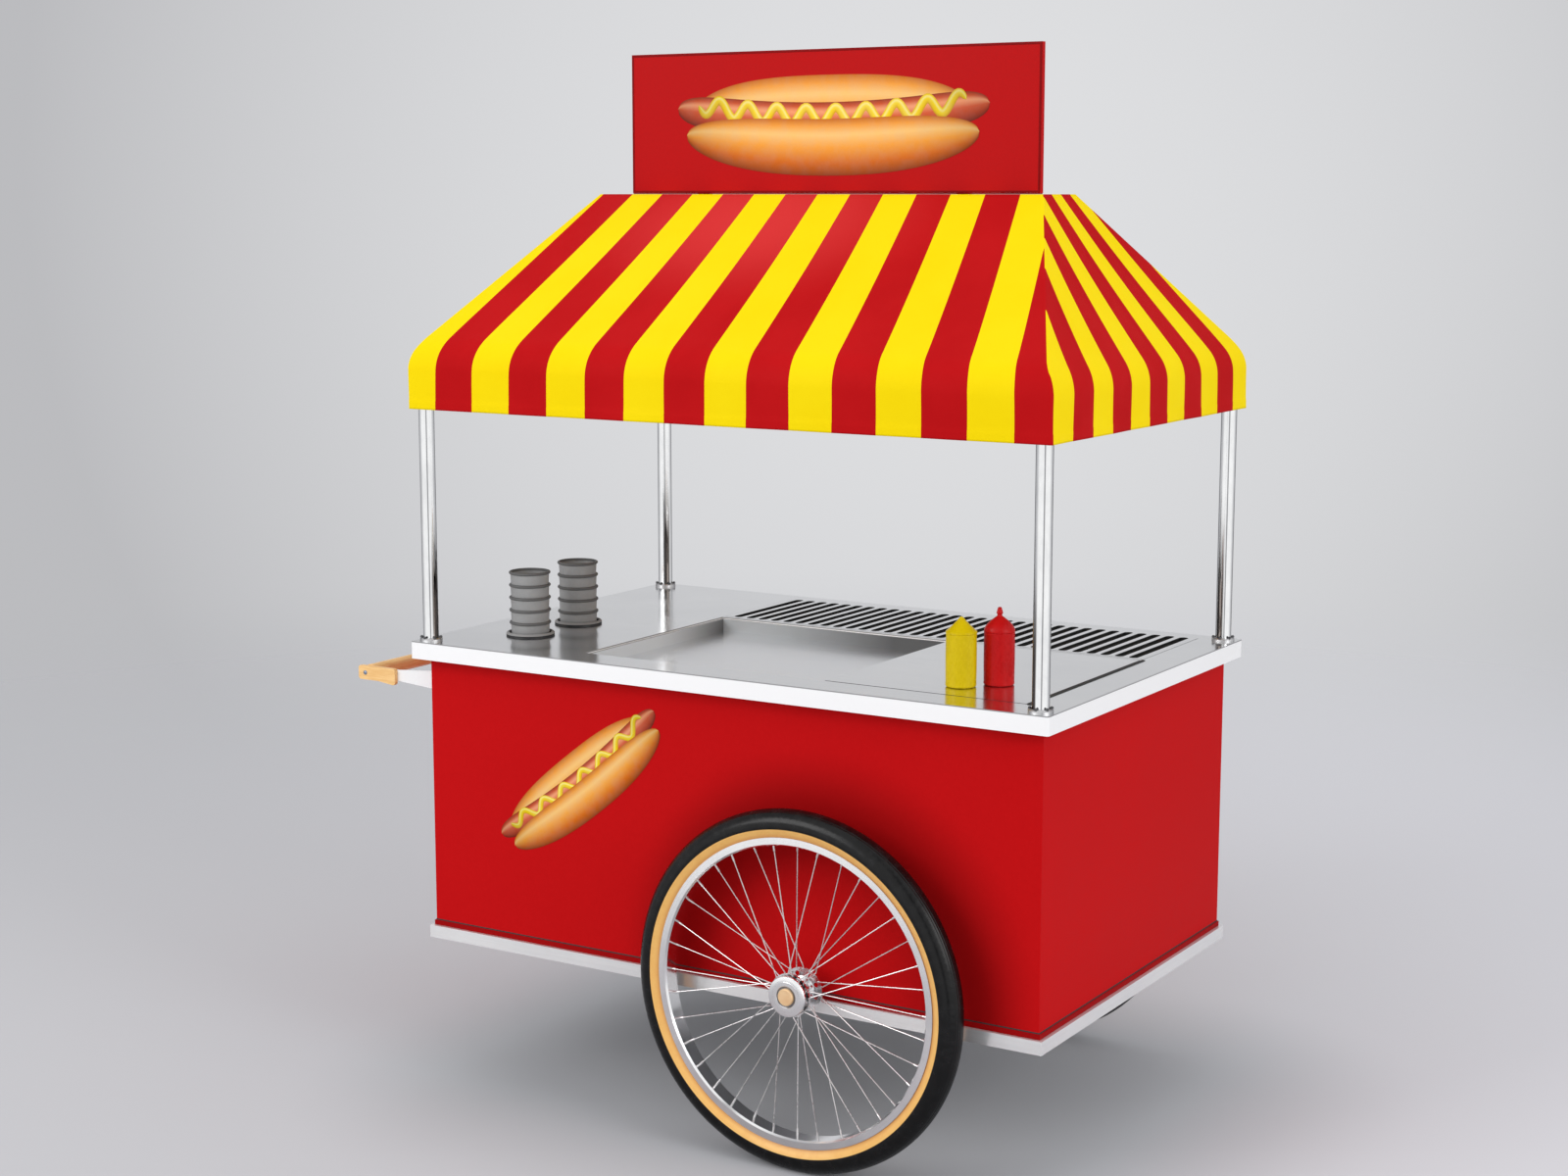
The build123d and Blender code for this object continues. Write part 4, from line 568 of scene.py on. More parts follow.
# Cups. Matte grey moulded cups nested five to a stack, each with a rolled rim and a beaded foot. Painted
# shade darkens a band at each rim, where the cups nest. A stack drops into a pressed well in black enamel and
# stands up through a soft black rubber ring with a grey lip.
CUP_X, CUP_Y, WORKTOP_Z = -0.467, {"front": -0.266, "rear": -0.099}, 0.925
CUPS, CUP_PITCH, CUP_FIRST_RIM, CUP_H, CUP_AROUND = 5, 0.026, 0.030, 0.112, 72
CUP_RIM_R, CUP_TOP_R, CUP_BASE_R, CUP_WALL, CUP_BEAD_R = 0.043, 0.0402, 0.034, 0.0012, 0.0030
CUP_FOOT_IN = ((CUP_BASE_R, 0.0008), (0.006, 0.0008), (0.005, 0.0), (0.0012, 0.0), (0.0001, 0.0010))
CUP_FLOOR_IN = ((CUP_WALL + 0.0012, 0.0032), (CUP_WALL + 0.003, 0.0030), (CUP_BASE_R, 0.0030))
CUP_OUTSIDE_Z, CUP_INSIDE_Z, CUP_INSIDE_DROP = 0.0026, 0.0042, 0.0016
CUP_GREY = (0.355, 0.355, 0.353), (0.285, 0.285, 0.283)
RIM_SHADE_GREY, RIM_SHADE_SHARE, RIMS_BELOW = (0.115, 0.115, 0.114), (0.74, 0.80), 8
WELL_BLACK = (0.026, 0.026, 0.027), (0.014, 0.014, 0.015)
RING_LIP = (0.9282, 0.9288)


def cup_section():
    """A cup's half section, from the middle of its foot up the outside, over a round rolled rim, down the
    inside and back to the middle. Distances are measured up from its foot."""
    slope = (CUP_TOP_R - CUP_BASE_R) / CUP_H
    swing = np.linspace(-0.5 * np.pi, 0.6 * np.pi, 16)
    rim = CUP_BEAD_R * np.stack((np.cos(swing), np.sin(swing)), 1)
    rim += (CUP_RIM_R - CUP_BEAD_R, CUP_H - CUP_BEAD_R)
    up = np.linspace(CUP_OUTSIDE_Z, CUP_H - 2 * CUP_BEAD_R, 10)
    outside = np.stack((CUP_BASE_R + slope * up, up), 1)
    down = np.linspace(CUP_H - CUP_INSIDE_DROP, CUP_INSIDE_Z, 8)
    inside = np.stack((CUP_BASE_R + slope * down - CUP_WALL, down), 1)
    foot, floor = ((CUP_BASE_R, 0) + np.array(pairs) * (-1, 1) for pairs in (CUP_FOOT_IN, CUP_FLOOR_IN))
    return np.concatenate((foot, outside, rim, inside, floor))


cup_grey = worked_finish("cup_grey", CUP_GREY, cloud=16.0, grain=600,
                         rough=(0.46, 0.58), depth=0.00006, Specular_IOR_Level=0.4)
tree = cup_grey.node_tree
# Painted shade: a darker band just under each cup's rim, repeated up the stack.
first_rim = (0, 0, WORKTOP_Z + CUP_FIRST_RIM - RIMS_BELOW * CUP_PITCH)
height = maths("DIVIDE", node(tree, "SeparateXYZ", {0: placed(tree, centre=first_rim)}, "Z"), CUP_PITCH)
overlay(cup_grey, span(maths("FRACT", height), *RIM_SHADE_SHARE), RIM_SHADE_GREY)
dress(worked_finish("well_enamel", WELL_BLACK, cloud=20.0, grain=300,
                    rough=(0.35, 0.5), depth=0.00005), "cup_wells")
dress(soft_black, "leg_foot")
ring_rubber = worked_finish("ring_rubber", RUBBER, cloud=40.0, grain=500,
                            rough=(0.6, 0.75), depth=0.0001, Specular_IOR_Level=0.2)
overlay(ring_rubber, span(own(ring_rubber.node_tree, "Z"), *RING_LIP), CUP_GREY[1])
dress(ring_rubber, "cup_gaskets")
feet_z = WORKTOP_Z + CUP_FIRST_RIM - CUP_H + CUP_PITCH * np.arange(CUPS)
for name, y in CUP_Y.items():
    points = turned(cup_section(), CUP_AROUND, [(CUP_X, y, z) for z in feet_z], (0, 0, 1))
    stack = new_piece(f"{name}_cup_stack", points, cup_grey, 60.0)
    fit(stack, f"{name}_cup_stack", f"{name}_cups")

# Squeeze bottles. Soft blown plastic, one yellow and one red, standing on the lid. The yellow one has a
# ringed lip and a pointed cap, and the red one a round shoulder drawn up into a nozzle.
BOTTLE_R, BOTTLE_H, BOTTLE_Z, BOTTLE_AROUND = 0.029, 0.100, 0.9255, 96
BOTTLE_FOOT, BOTTLE_SWELL, BOTTLE_EDGE = 0.004, 0.0005, 0.0015
YELLOW_XY, RED_XY = (0.552, -0.293), (0.604, -0.240)
MUSTARD = (0.75, 0.565, 0.003), (0.66, 0.485, 0.002)
KETCHUP = (0.56, 0.008, 0.009), (0.47, 0.006, 0.007)
PLASTIC_WORK = dict(cloud=26.0, grain=(260, 260, 120), rough=(0.24, 0.32), depth=0.00003)
BOTTLE_UNDER = ((0.0, 0.0012), (0.019, 0.0012), (0.022, 0.0))
POINTED_LIP = ((0.0, 0.0001), (0.0287, 0.0001), (0.0293, 0.0006), (0.0293, 0.0018), (0.0290, 0.0022),
               (0.0293, 0.0026), (0.0293, 0.0038), (0.0288, 0.0044), (0.0280, 0.0047))
CONE_FOOT_R, CONE_TOP_R, CONE_HOLLOW, CONE_Z, CONE_H = 0.0276, 0.0036, 0.0010, 0.0052, 0.0242
POINTED_TIP = ((0.0034, 0.0302), (0.0026, 0.0308), (0.0012, 0.0310), (0.0010, 0.0296), (0.0, 0.0294))
DOMED_LIP = ((0.0, 0.0001), (0.0284, 0.0001), (0.0290, 0.0006))
DOME_Z, DOME_H, DOME_POWER, DOME_CUT = 0.0008, 0.0335, 1.3, 0.86
DOMED_NECK = ((0.0047, 0.0308), (0.0046, 0.0322), (0.0050, 0.0334), (0.0060, 0.0343), (0.0061, 0.0352))
NOZZLE_FOOT, NOZZLE_TOP = (0.0060, 0.0360), (0.0036, 0.0448)
DOMED_TIP = ((0.0031, 0.0456), (0.0022, 0.0460), (0.0012, 0.0460), (0.0010, 0.0447), (0.0, 0.0445))


def bottle_section():
    """Half section of a bottle's body: a foot with a soft edge, a side that swells by half a millimetre
    between its ends, and a rounded top edge. Distances are measured up from the lid."""
    swing = np.linspace(0, 0.5 * np.pi, 8)
    sine, cosine = np.sin(swing), np.cos(swing)
    foot = np.stack((BOTTLE_R - BOTTLE_FOOT + BOTTLE_FOOT * sine, BOTTLE_FOOT - BOTTLE_FOOT * cosine), 1)
    up = np.linspace(0, 1, 26)[1:-1]
    side = np.stack((BOTTLE_R - BOTTLE_SWELL + BOTTLE_SWELL * np.cos(np.pi * (up - 0.5)),
                     BOTTLE_FOOT + up * (BOTTLE_H - BOTTLE_FOOT - BOTTLE_EDGE)), 1)
    top = np.stack((BOTTLE_R - BOTTLE_EDGE + BOTTLE_EDGE * cosine,
                    BOTTLE_H - BOTTLE_EDGE + BOTTLE_EDGE * sine), 1)
    return np.concatenate((BOTTLE_UNDER, foot, side, top, ((0.0, BOTTLE_H),)))


def pointed_cap_section():
    """Half section of the pointed cap: a straight ringed lip, a step, a slightly hollow cone and a round
    tip."""
    up = np.linspace(0, 1, 18)
    radius = CONE_FOOT_R * (1 - up) + CONE_TOP_R * up - CONE_HOLLOW * np.sin(np.pi * up)
    cone = np.stack((radius, CONE_Z + up * CONE_H), 1)
    return np.concatenate((POINTED_LIP, cone, POINTED_TIP))


def domed_cap_section():
    """Half section of the domed cap: a fine parting groove, a pointed dome whose radius falls by a power of
    the height, a narrow neck, and a tapered nozzle with a small barb at its foot."""
    up = np.linspace(0, DOME_CUT, 20)
    dome = np.stack((BOTTLE_R * (1 - up ** 2) ** DOME_POWER, DOME_Z + DOME_H * up), 1)
    nozzle = np.linspace(NOZZLE_FOOT, NOZZLE_TOP, 6)
    return np.concatenate((DOMED_LIP, dome, DOMED_NECK, nozzle, DOMED_TIP))


for colour, body, place, cap_section, tones, shine, glow in (
        ("yellow", "mustard", YELLOW_XY, pointed_cap_section(), MUSTARD, 0.16, (0.004, 0.003, 0.001)),
        ("red", "ketchup", RED_XY, domed_cap_section(), KETCHUP, 0.12, (0.004, 0.001, 0.001))):
    plastic = worked_finish(f"{body}_plastic", tones, **PLASTIC_WORK, Specular_IOR_Level=shine,
                            Subsurface_Weight=0.04, Subsurface_Radius=glow)
    mouldings = ("bottle", bottle_section(), BOTTLE_Z), ("cap", cap_section, BOTTLE_Z + BOTTLE_H)
    for part, section, z in mouldings:
        points = turned(section, BOTTLE_AROUND, [(*place, z)], (0, 0, 1))
        moulding = new_piece(f"{colour}_{part}_moulding", points, plastic, 50.0)
        fit(moulding, body, f"{colour}_{part}")

# Poles. Four chromed tubes with round satin flanges at their feet, each bolted down to the worktop by six
# dark bolts. The flange is welded round the tube, and the tube ends in the canopy's lower ring. A painted
# reflection darkens the chrome low down, on the side that looks over the worktop.
POLE_XY = [(x, y) for x in (-0.600, 0.780) for y in (-0.425, 0.425)]
BOLT_CIRCLE_R, BOLTS, BOLT_SIDES = 0.0195, 6, 18
BOLT_SECTION = ((0.0, 0.0040), (0.0016, 0.0040), (0.0024, 0.0036),
                (0.0031, 0.0026), (0.0034, 0.0013), (0.0034, 0.0))
FLANGE = (0.66, 0.66, 0.67), (0.50, 0.50, 0.51)
BOLT = (0.115, 0.115, 0.12), (0.055, 0.055, 0.058)
CHROME_REFLECTION_DARK = (0.10, 0.086, 0.078)
REFLECTION_DARK_SIDE, REFLECTION_DARK_WIDTH, REFLECTION_DARK_HEIGHT = (0.60, -0.68, 0.0), (0.86, 0.965), (1.02, 1.22)
chrome_painted_reflection = worked_finish("chrome_painted_reflection", CHROME, **CHROME_WORK, Metallic=1.0)
tree = chrome_painted_reflection.node_tree
# Painted reflection: a dark band on the chrome, low down on the side facing the worktop.
inward = vectors("NORMALIZE", placed(tree, (-1, -1, 0), REFLECTION_DARK_SIDE))
facing = vectors("DOT_PRODUCT", inward, node(tree, "TexCoord", pick="Normal"))
painted_darkening = maths("MULTIPLY", span(facing, *REFLECTION_DARK_WIDTH), span(own(tree, "Z"), *REFLECTION_DARK_HEIGHT, 1.0, 0.0))
overlay(chrome_painted_reflection, painted_darkening, CHROME_REFLECTION_DARK)
dress(chrome_painted_reflection, "front_left_pole", "front_right_pole", "back_left_pole", "back_right_pole")
dress(worked_finish("satin_flange", FLANGE, cloud=40.0, grain=300,
                    rough=(0.34, 0.48), depth=0.00004, Metallic=0.9), "pole_flanges")
dark_bolt = worked_finish("dark_bolt", BOLT, cloud=60.0, grain=500,
                          rough=(0.3, 0.45), depth=0.00004, Metallic=0.8)
bolt_turn = (np.arange(BOLTS) + 0.5) * 2 * np.pi / BOLTS
bolt_ring = BOLT_CIRCLE_R * np.stack((np.cos(bolt_turn), np.sin(bolt_turn), 0 * bolt_turn), -1)
flange_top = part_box("pole_flanges")[1].z
bolt_places = np.array([(x, y, flange_top) for x, y in POLE_XY])[:, None] + bolt_ring
points = turned(BOLT_SECTION, BOLT_SIDES, bolt_places.reshape(-1, 3), (0, 0, 1))
fit(new_piece("pole_bolts", points, dark_bolt), "cart")

# Canopy frame. Plain aluminium bar: a ring on the poles, a long ring under the flat top and a rafter under
# each hip, with two flat steel posts that go up through the cloth to carry the sign.
BAR = (0.72, 0.72, 0.73), (0.55, 0.55, 0.56)
dress(worked_finish("mill_alloy", BAR, cloud=6.0, grain=(40, 40, 240),
                    rough=(0.30, 0.45), depth=0.00003, Metallic=1.0),
      "eave_frame", "top_frame", "rafters", "sign_posts")

# Canopy cloth. Smooth awning cloth in red and yellow stripes, sewn from four slopes and a flat top and pulled
# tight over the frame. The stripes narrow towards the flat top and meet at the hips. Near the middle of the
# flat top's length a painted sheen lightens the red. The edge hangs as a valance with a turned hem.
CLOTH_MID_X, CLOTH_T, HIP_R = 0.090, 0.0016, 0.0045
HEM_HALF_X, HEM_HALF_Y, TOP_HALF_X, TOP_HALF_Y = 0.715, 0.452, 0.508, 0.072
HEM_Z, SHOULDER_Z, SLOPE_Z, ROOF_Z, SHOULDER_R = 1.400, 1.478, 1.560, 1.827, 0.085
STRIPE_FROM_Z, STRIPE_EASE = 1.515, 0.03
LONG_STRIPE = 0.0921
LONG_SIDE, SHORT_SIDE = (LONG_STRIPE, 0.0585, 0.092, 9), (0.083, 0.138, -0.116, 4)
LONG_COLUMNS, SHORT_COLUMNS, HIP_COLUMNS, CLOTH_ROWS = 130, 84, 6, (6, 8, 30, 44)
DRAW_IN = (0.8, 0.6, 0.4, 0.2, 0.0)
CLOTH_SAG, SAG_IN, SAG_DOWN, SAG_POWER = 0.0035, 0.63, 0.75, 0.7
HEM_H, HEM_FOLD, HEM_FOLD_H, HEM_WAVE, HEM_WAVES = 0.020, 0.0006, 0.002, 0.0008, (21, 37)
CLOTH_YELLOW = (0.96, 0.735, 0.003), (0.94, 0.70, 0.002)
CLOTH_RED, CLOTH_RED_SHEEN = ((0.53, 0.006, 0.008), (0.48, 0.005, 0.007)), (0.70, 0.040, 0.040)
SHEEN_SCALE, SHEEN_MIDDLE, SHEEN_FALL = (2.2, 0.0, 5.8), (0.0, 0.0, 1.78), (0.1, 1.0, 0.85, 0.0)
THREADS = 60.0


def roof_half(z, hem, top):
    """Half width of the roof at heights z: an upright valance, a round shoulder, and a straight slope that
    leaves the shoulder along its tangent and ends at the flat top. Also gives where on the slope each height
    is, from 0 to 1."""
    middle = hem - SHOULDER_R
    run, rise = top - middle, ROOF_Z - SHOULDER_Z
    turn = math.atan2(rise, run) - math.acos(SHOULDER_R / math.hypot(run, rise))
    leave, leave_z = middle + SHOULDER_R * math.cos(turn), SHOULDER_Z + SHOULDER_R * math.sin(turn)
    arc = middle + np.sqrt(np.maximum(SHOULDER_R ** 2 - (z - SHOULDER_Z) ** 2, 0))
    share = np.clip((z - leave_z) / (ROOF_Z - leave_z), 0, 1)
    slope = leave + share * (top - leave)
    return np.where(z < SHOULDER_Z, hem, np.where(z < leave_z, arc, slope)), share


def cloth_grid():
    """The canopy as one sheet, with a row for each height and a column for each place round it. A row is a
    rectangle with small round corners whose half widths come from the roof's two profiles. The last rows draw
    the flat top in to its middle line. Slopes sag inwards by a sine of the height times a cosine of the place
    along, and the valance waves a little and is thicker at its hem. Returns the points, the four stripe maps,
    the length down the slope and the side that each column of faces belongs to. A side's stripes have a
    width, a taper with height, a line they are counted from and a count there."""
    levels = HEM_Z, HEM_Z + HEM_H, SHOULDER_Z, SLOPE_Z, ROOF_Z
    rises = [np.linspace(low, high, rows)[1:] for low, high, rows in zip(levels, levels[1:], CLOTH_ROWS)]
    z = np.concatenate(((HEM_Z,), *rises, np.repeat(ROOF_Z, len(DRAW_IN))))[:, None]
    draw_in = np.append(np.ones(len(z) - len(DRAW_IN)), DRAW_IN)[:, None]
    half_x, share_x = roof_half(z, HEM_HALF_X, TOP_HALF_X)
    half_y, share_y = roof_half(z, HEM_HALF_Y, TOP_HALF_Y)
    half_x, half_y = half_x - TOP_HALF_Y * (1 - draw_in), half_y * draw_in
    hip = HIP_R * np.minimum(1, half_y / TOP_HALF_Y)
    swing = np.linspace(0, 0.5 * np.pi, HIP_COLUMNS + 2)[1:-1]
    sides = []
    counts, ways = (LONG_COLUMNS, SHORT_COLUMNS) * 2, ((1, 0), (0, 1), (-1, 0), (0, -1))
    for number, (count, (way_x, way_y)) in enumerate(zip(counts, ways)):
        place = np.concatenate((np.linspace(-1, 1, count), np.ones(HIP_COLUMNS)))
        along = np.concatenate((np.zeros(count), np.sin(swing)))
        out = -np.concatenate((np.ones(count), np.cos(swing)))
        owner = np.repeat((number, (number + 1) % 4), (count + HIP_COLUMNS // 2, HIP_COLUMNS // 2))
        sides.append((way_x * place + way_y, way_y * place - way_x, way_x * along - way_y * out,
                      way_y * along + way_x * out, owner))
    corner_x, corner_y, arc_x, arc_y, owner = (np.concatenate(parts) for parts in zip(*sides))
    x = corner_x * (half_x - hip) + arc_x * hip
    y = corner_y * (half_y - hip) + arc_y * hip
    long_side = np.abs(arc_y) > np.abs(arc_x)
    place = np.where(long_side, corner_x, corner_y)
    share = np.where(long_side, share_y, share_x)
    sag = CLOTH_SAG * np.sin(np.pi * share) * np.cos(0.5 * np.pi * place) ** SAG_POWER
    low = np.clip((SHOULDER_Z - z) / (SHOULDER_Z - HEM_Z), 0, 1)
    lap = 2 * np.pi * np.arange(x.shape[1]) / x.shape[1]
    wave = HEM_WAVE * low ** 2 * (np.sin(HEM_WAVES[0] * lap) + 0.5 * np.sin(HEM_WAVES[1] * lap + 1))
    fold = HEM_FOLD * np.clip((HEM_Z + HEM_H - z) / HEM_FOLD_H, 0, 1)
    push = wave + fold - SAG_IN * sag
    points = np.stack((CLOTH_MID_X + x + arc_x * push, y + arc_y * push, z - SAG_DOWN * sag), -1)
    over = z - STRIPE_FROM_Z
    above = 0.5 * (over + np.sqrt(over ** 2 + STRIPE_EASE ** 2))
    stripes = [count + (way - line) / (stripe - taper * above) for way, (stripe, taper, line, count)
               in ((x, LONG_SIDE), (y, SHORT_SIDE), (-x, LONG_SIDE), (-y, SHORT_SIDE))]
    middle = points[:, LONG_COLUMNS // 2]
    down = np.concatenate(((0,), np.cumsum(np.linalg.norm(np.diff(middle, axis=0), axis=1)))) / LONG_STRIPE
    return points, np.stack(stripes), down, owner


striped_cloth, tree = start_finish("striped_cloth", Specular_IOR_Level=0.03)
weave_map = node(tree, "SeparateXYZ", {0: node(tree, "UVMap", uv_map="weave")}).node.outputs
is_red = maths("GREATER_THAN", maths("FRACT", maths("MULTIPLY", weave_map["X"], 0.5)), 0.5)
fade = span(noise(placed(tree), 5.0, 5.0), 0.3, 0.7)
# Painted sheen: the red is lightened in a patch high on the slopes, near the middle of their length.
painted_sheen = span(vectors("LENGTH", placed(tree, SHEEN_SCALE, SHEEN_MIDDLE)), *SHEEN_FALL)
red = between(painted_sheen, between(fade, *CLOTH_RED), CLOTH_RED_SHEEN)
threads = [maths("SINE", maths("MULTIPLY", weave_map[axis], 2 * math.pi * THREADS)) for axis in "XY"]
lay_on(maths("MULTIPLY", *threads), 0.00004, Roughness=span(fade, 0, 1, 0.46, 0.60),
       Base_Color=between(is_red, between(fade, *CLOTH_YELLOW), red))
points, stripes, down, owner = cloth_grid()
rows, columns = points.shape[:2]
faces = grid_faces(points)
canopy = new_piece("canopy_sheet", points, striped_cloth, 60.0)
across = stripes.reshape(4, -1)[np.tile(owner, rows - 1)[:, None], faces]
weave = np.stack((across, np.repeat(down, columns)[faces]), -1)
canopy.data.uv_layers.new(name="weave").data.foreach_set("uv", weave.astype(np.float32).ravel())
wall = canopy.modifiers.new("cloth_thickness", "SOLIDIFY")
wall.thickness, wall.offset = CLOTH_T, -1
fit(canopy, "cart", "canopy_cloth")

# Sign. A board sprayed in gloss red with a thin dark bead round both faces, screwed to its posts, with a dark
# strip between its foot and the cloth. A picture of the cart's food, cut from printed film, is laid on the
# front.
SIGN_RED = (0.52, 0.0065, 0.0075), (0.48, 0.0055, 0.0065)
BEAD_RED = (0.27, 0.004, 0.005), (0.19, 0.003, 0.004)
BEAD_SECTION = ((0.0004, 0.0), (0.0004, 0.0005), (0.0010, 0.0008),
                (0.0044, 0.0008), (0.0050, 0.0005), (0.0050, 0.0))
REST_SECTION, REST_INSET = ((-0.0012, 1.8273), (0.0, 1.8273), (0.0, 1.8289), (-0.0012, 1.8289)), 0.0008
SIGN_PICTURE_MID, SIGN_PICTURE_HALF, SIGN_PICTURE_WAVES = (0.093, 1.962), 0.358, 9.0
PRINT_ROWS, PRINT_COLUMNS = 25, 180
FILM_STEP, FILM_BULGE, FILM_EDGE, FILM_SHADE = 0.00018, 0.00016, 0.00004, 0.34
RAMP_PLACES = (-1.0, -0.55, 0.0, 0.45, 0.75, 1.0)
BUN_RAMP = ((0.28, 0.045, 0.004), (0.66, 0.15, 0.010), (0.93, 0.38, 0.050),
            (1.0, 0.61, 0.20), (0.90, 0.36, 0.050), (0.58, 0.15, 0.012))
MEAT_RAMP = ((0.20, 0.020, 0.008), (0.46, 0.055, 0.018), (0.70, 0.11, 0.035),
             (0.96, 0.38, 0.18), (0.62, 0.095, 0.03), (0.32, 0.04, 0.012))
SAUCE_RAMP = ((0.66, 0.36, 0.003), (0.86, 0.58, 0.006), (0.96, 0.73, 0.012),
              (1.0, 0.88, 0.26), (0.95, 0.70, 0.012), (0.78, 0.48, 0.005))
FILM_CUTS = (
    (0.90, 0.090, -0.035, 0.185, 3.4, 0.0, BUN_RAMP),
    (1.00, 0.030, 0.075, 0.096, 9.0, 0.0, MEAT_RAMP),
    (0.86, 0.052, 0.072, 0.026, 30.0, 0.046, SAUCE_RAMP),
    (0.94, -0.120, 0.075, 0.155, 3.0, 0.0, BUN_RAMP),
)


def food_picture(half_length, waves):
    """A long filled bun as four strips of film laid one on another: the far half of the bun, the filling, a
    line of sauce and the near half. A strip's centre line is a parabola plus a sine along its length, its
    half width falls to nothing at the ends by a power of the length, and its colours follow a ramp across it,
    darker towards the ends. Returns points (along, up, lift) and their colours."""
    step = np.linspace(-1, 1, PRINT_COLUMNS)
    across = np.linspace(-1, 1, PRINT_ROWS)[:, None]
    shade = 1 - FILM_SHADE * np.abs(step) ** 4
    points, colours = [], []
    for layer, (reach, rise, bow, half, blunt, swing, ramp) in enumerate(FILM_CUTS):
        along = reach * step
        up = rise + bow * step ** 2 + swing * np.sin(waves * np.pi * step)
        slope = np.gradient(up, along)
        tilt = np.sqrt(1 + slope ** 2)
        width = half * np.sqrt(np.maximum(1 - np.abs(step) ** blunt, 0)) * across
        lift = FILM_EDGE + layer * FILM_STEP + FILM_BULGE * (1 - across ** 2) + 0 * width
        tone = np.stack([np.interp(across, RAMP_PLACES, channel) for channel in np.transpose(ramp)], -1)
        flat = half_length * (along - width * slope / tilt), half_length * (up + width / tilt)
        points.append(np.stack((*flat, lift), -1))
        colours.append(np.clip(tone * shade[:, None], 0, 1))
    return np.stack(points), np.stack(colours)


def lay_picture(name, middle, face_y, lean, half_length, waves, finish):
    """Lays a picture on an upright face that looks along -Y, turned by an angle about its middle."""
    flat, colours = food_picture(half_length, waves)
    along, up, lift = np.moveaxis(flat, -1, 0)
    cosine, sine = math.cos(lean), math.sin(lean)
    points = np.stack((middle[0] + cosine * along - sine * up, face_y - lift,
                       middle[1] + sine * along + cosine * up), -1)
    picture = new_piece(name, points, finish, 40.0, False, False)
    print_colours = picture.data.color_attributes.new("print", "FLOAT_COLOR", "POINT")
    print_colours.data.foreach_set("color", np.insert(colours, 3, 1, -1).astype(np.float32).ravel())
    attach(picture, "cart")


dress(worked_finish("gloss_sign", SIGN_RED, cloud=2.0, grain=150,
                    rough=(0.36, 0.46), depth=0.00005, Specular_IOR_Level=0.04),
      "sign_board")
dark_bead = worked_finish("dark_bead", BEAD_RED, cloud=12.0, grain=300,
                          rough=(0.35, 0.48), depth=0.00004, Specular_IOR_Level=0.05)
sign_low, sign_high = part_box("sign_board")
for side, face_y, out in (("front", sign_low.y, -1), ("back", sign_high.y, 1)):
    section = [(-inset, face_y + out * proud) for inset, proud in BEAD_SECTION]
    points = band(sign_low.xzy, sign_high.xzy, section)[..., (0, 2, 1)]
    fit(new_piece(f"sign_{side}_bead", points, dark_bead, 30.0, True, True), "cart")
points = band(np.add(sign_low, REST_INSET), np.subtract(sign_high, REST_INSET), REST_SECTION)
fit(new_piece("sign_rest", points, dark_bead, 30.0, True, True), "cart")
printed_film, tree = start_finish("printed_film", Specular_IOR_Level=0.07)
ink = node(tree, "Attribute", attribute_name="print")
worn = span(noise(placed(tree), 40.0, 4.0), 0.3, 0.7)
fainter = node(tree, "HueSaturation", {"Saturation": 0.94, "Value": 0.96, "Color": ink})
lay_on(noise(placed(tree), 350.0, 2.0), 0.00003, Base_Color=between(worn, ink, fainter),
       Roughness=span(worn, 0, 1, 0.36, 0.46))
lay_picture("sign_picture", SIGN_PICTURE_MID, sign_low.y, 0.0, SIGN_PICTURE_HALF, SIGN_PICTURE_WAVES,
            printed_film)

# Front picture. The same food on a smaller piece of film, laid on the cabinet's front at a slant beside the
# wheel.
FRONT_PICTURE_MID, FRONT_PICTURE_LEAN = (-0.225, 0.668), math.radians(38)
FRONT_PICTURE_HALF, FRONT_PICTURE_WAVES = 0.240, 7.0
lay_picture("front_picture", FRONT_PICTURE_MID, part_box("front_panel")[0].y, FRONT_PICTURE_LEAN,
            FRONT_PICTURE_HALF, FRONT_PICTURE_WAVES, printed_film)

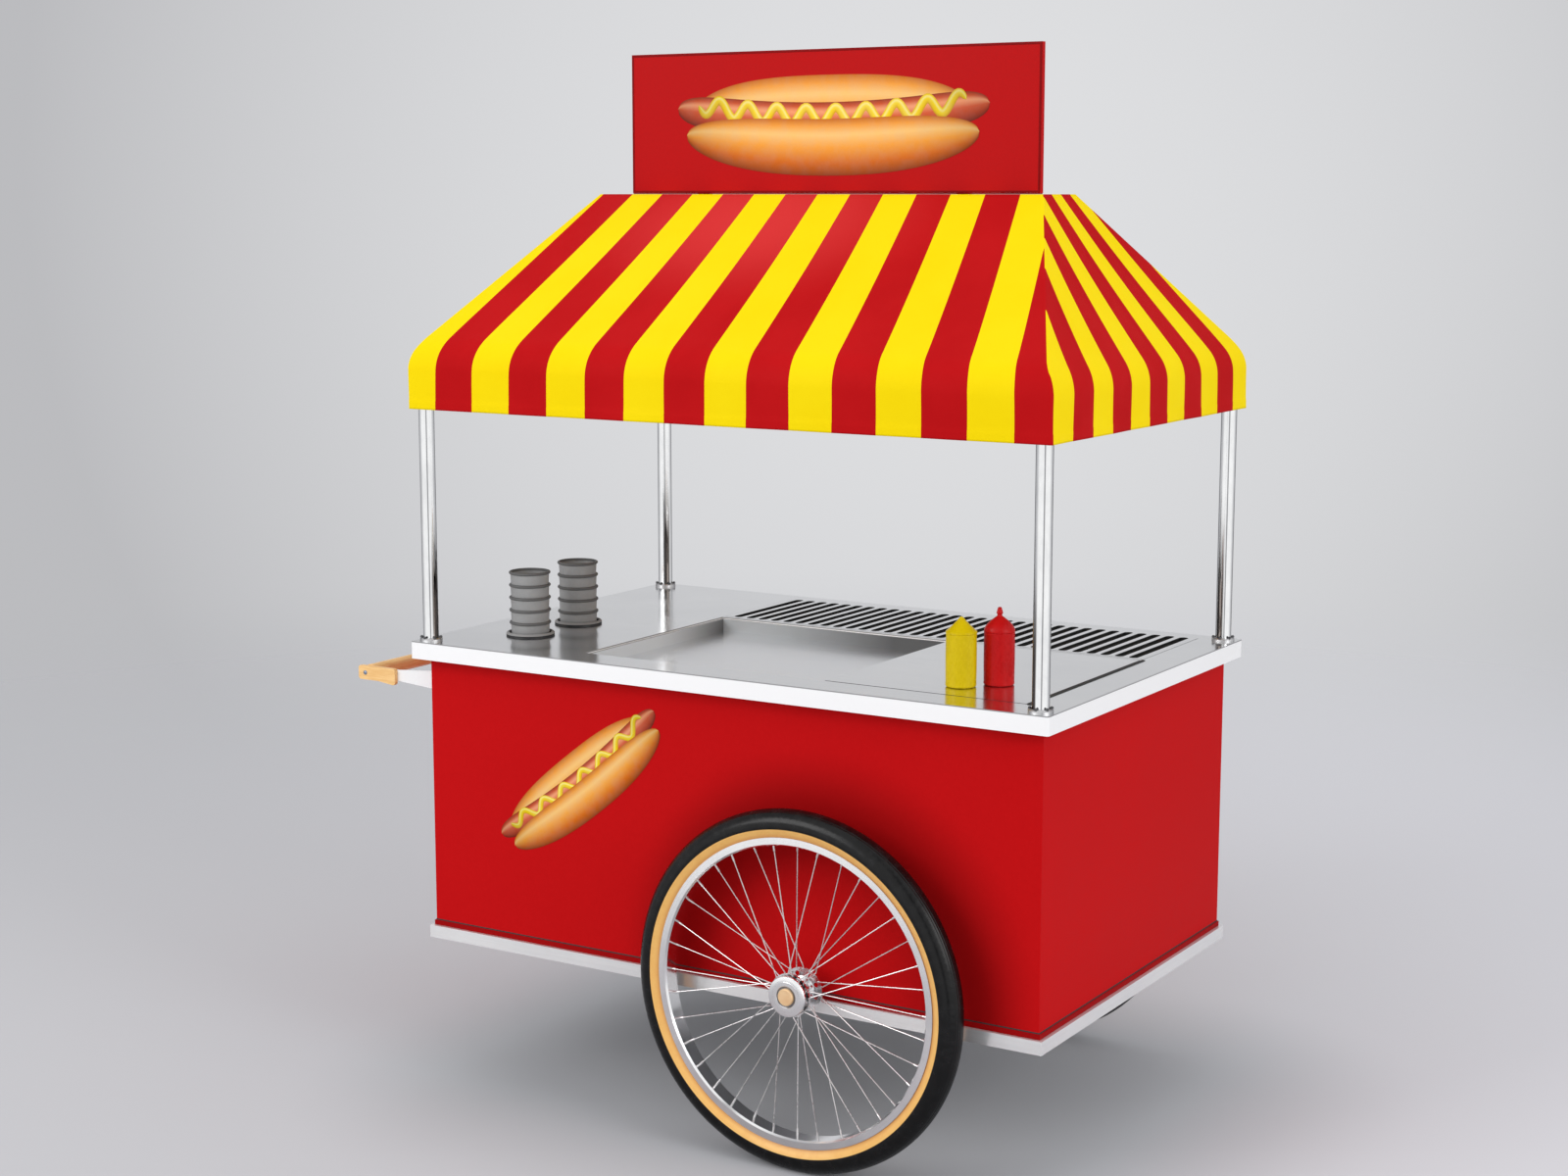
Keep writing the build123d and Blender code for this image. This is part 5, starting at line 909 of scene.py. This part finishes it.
# Push handle. Two tapered bars in white enamel stand out from the cabinet's end. A varnished wooden cheek is
# screwed to the outside of each, and a wooden bar joins their ends.
ENAMEL_WHITE = (0.96, 0.96, 0.955), (0.91, 0.91, 0.905)
WOOD = (1.0, 0.65, 0.28), (0.88, 0.51, 0.18)
RING_LINES, PORES_FINER = 46.0, 9
BLUED = (0.36, 0.42, 0.54), (0.20, 0.25, 0.36)
CHEEK_SCREW_SECTION = ((0.0, 0.0010), (0.0013, 0.0011), (0.0014, 0.0022), (0.0032, 0.0019), (0.0044, 0.0010),
                       (0.0048, 0.0))
CHEEK_SCREW_IN = 0.018


def wood(name, stretch):
    """Varnished wood. A noise drawn out along the grain is read as contour lines by a sine, for the growth
    rings, and a finer one gives the pores."""
    finish, tree = start_finish(name, Specular_IOR_Level=0.45)
    lines = maths("SINE", maths("MULTIPLY", noise(placed(tree, stretch), 1.0, 3.0, 0.5), RING_LINES))
    pores = noise(placed(tree, tuple(PORES_FINER * scale for scale in stretch)), 1.0, 2.0)
    share = node(tree, "Mix", {0: 0.45, 2: span(lines, -1, 1), 3: span(pores, 0.35, 0.65)})
    lay_on(share, 0.00006, Base_Color=between(share, *WOOD[::-1]), Roughness=span(share, 0, 1, 0.44, 0.32))
    return finish


dress(worked_finish("white_enamel", ENAMEL_WHITE, cloud=3.0, grain=160,
                    rough=(0.34, 0.44), depth=0.00005, Specular_IOR_Level=0.4),
      "handle_arms")
dress(wood("wood_along_x", (4, 60, 60)), "handle_cheeks")
dress(wood("wood_along_y", (60, 4, 60)), "handle_bar")
blued_screw = worked_finish("blued_screw", BLUED, cloud=60.0, grain=400,
                            rough=(0.25, 0.4), depth=0.00003, Metallic=0.9)
cheek_low, cheek_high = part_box("handle_cheeks")
arm_z = (cheek_high.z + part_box("handle_bar")[0].z) / 2
for side, y, out in (("front", cheek_low.y, -1), ("back", cheek_high.y, 1)):
    points = turned(CHEEK_SCREW_SECTION, SCREW_SIDES, [(cheek_low.x + CHEEK_SCREW_IN, y, arm_z)], (0, out, 0))
    fit(new_piece(f"{side}_cheek_screw", points, blued_screw), "cart")
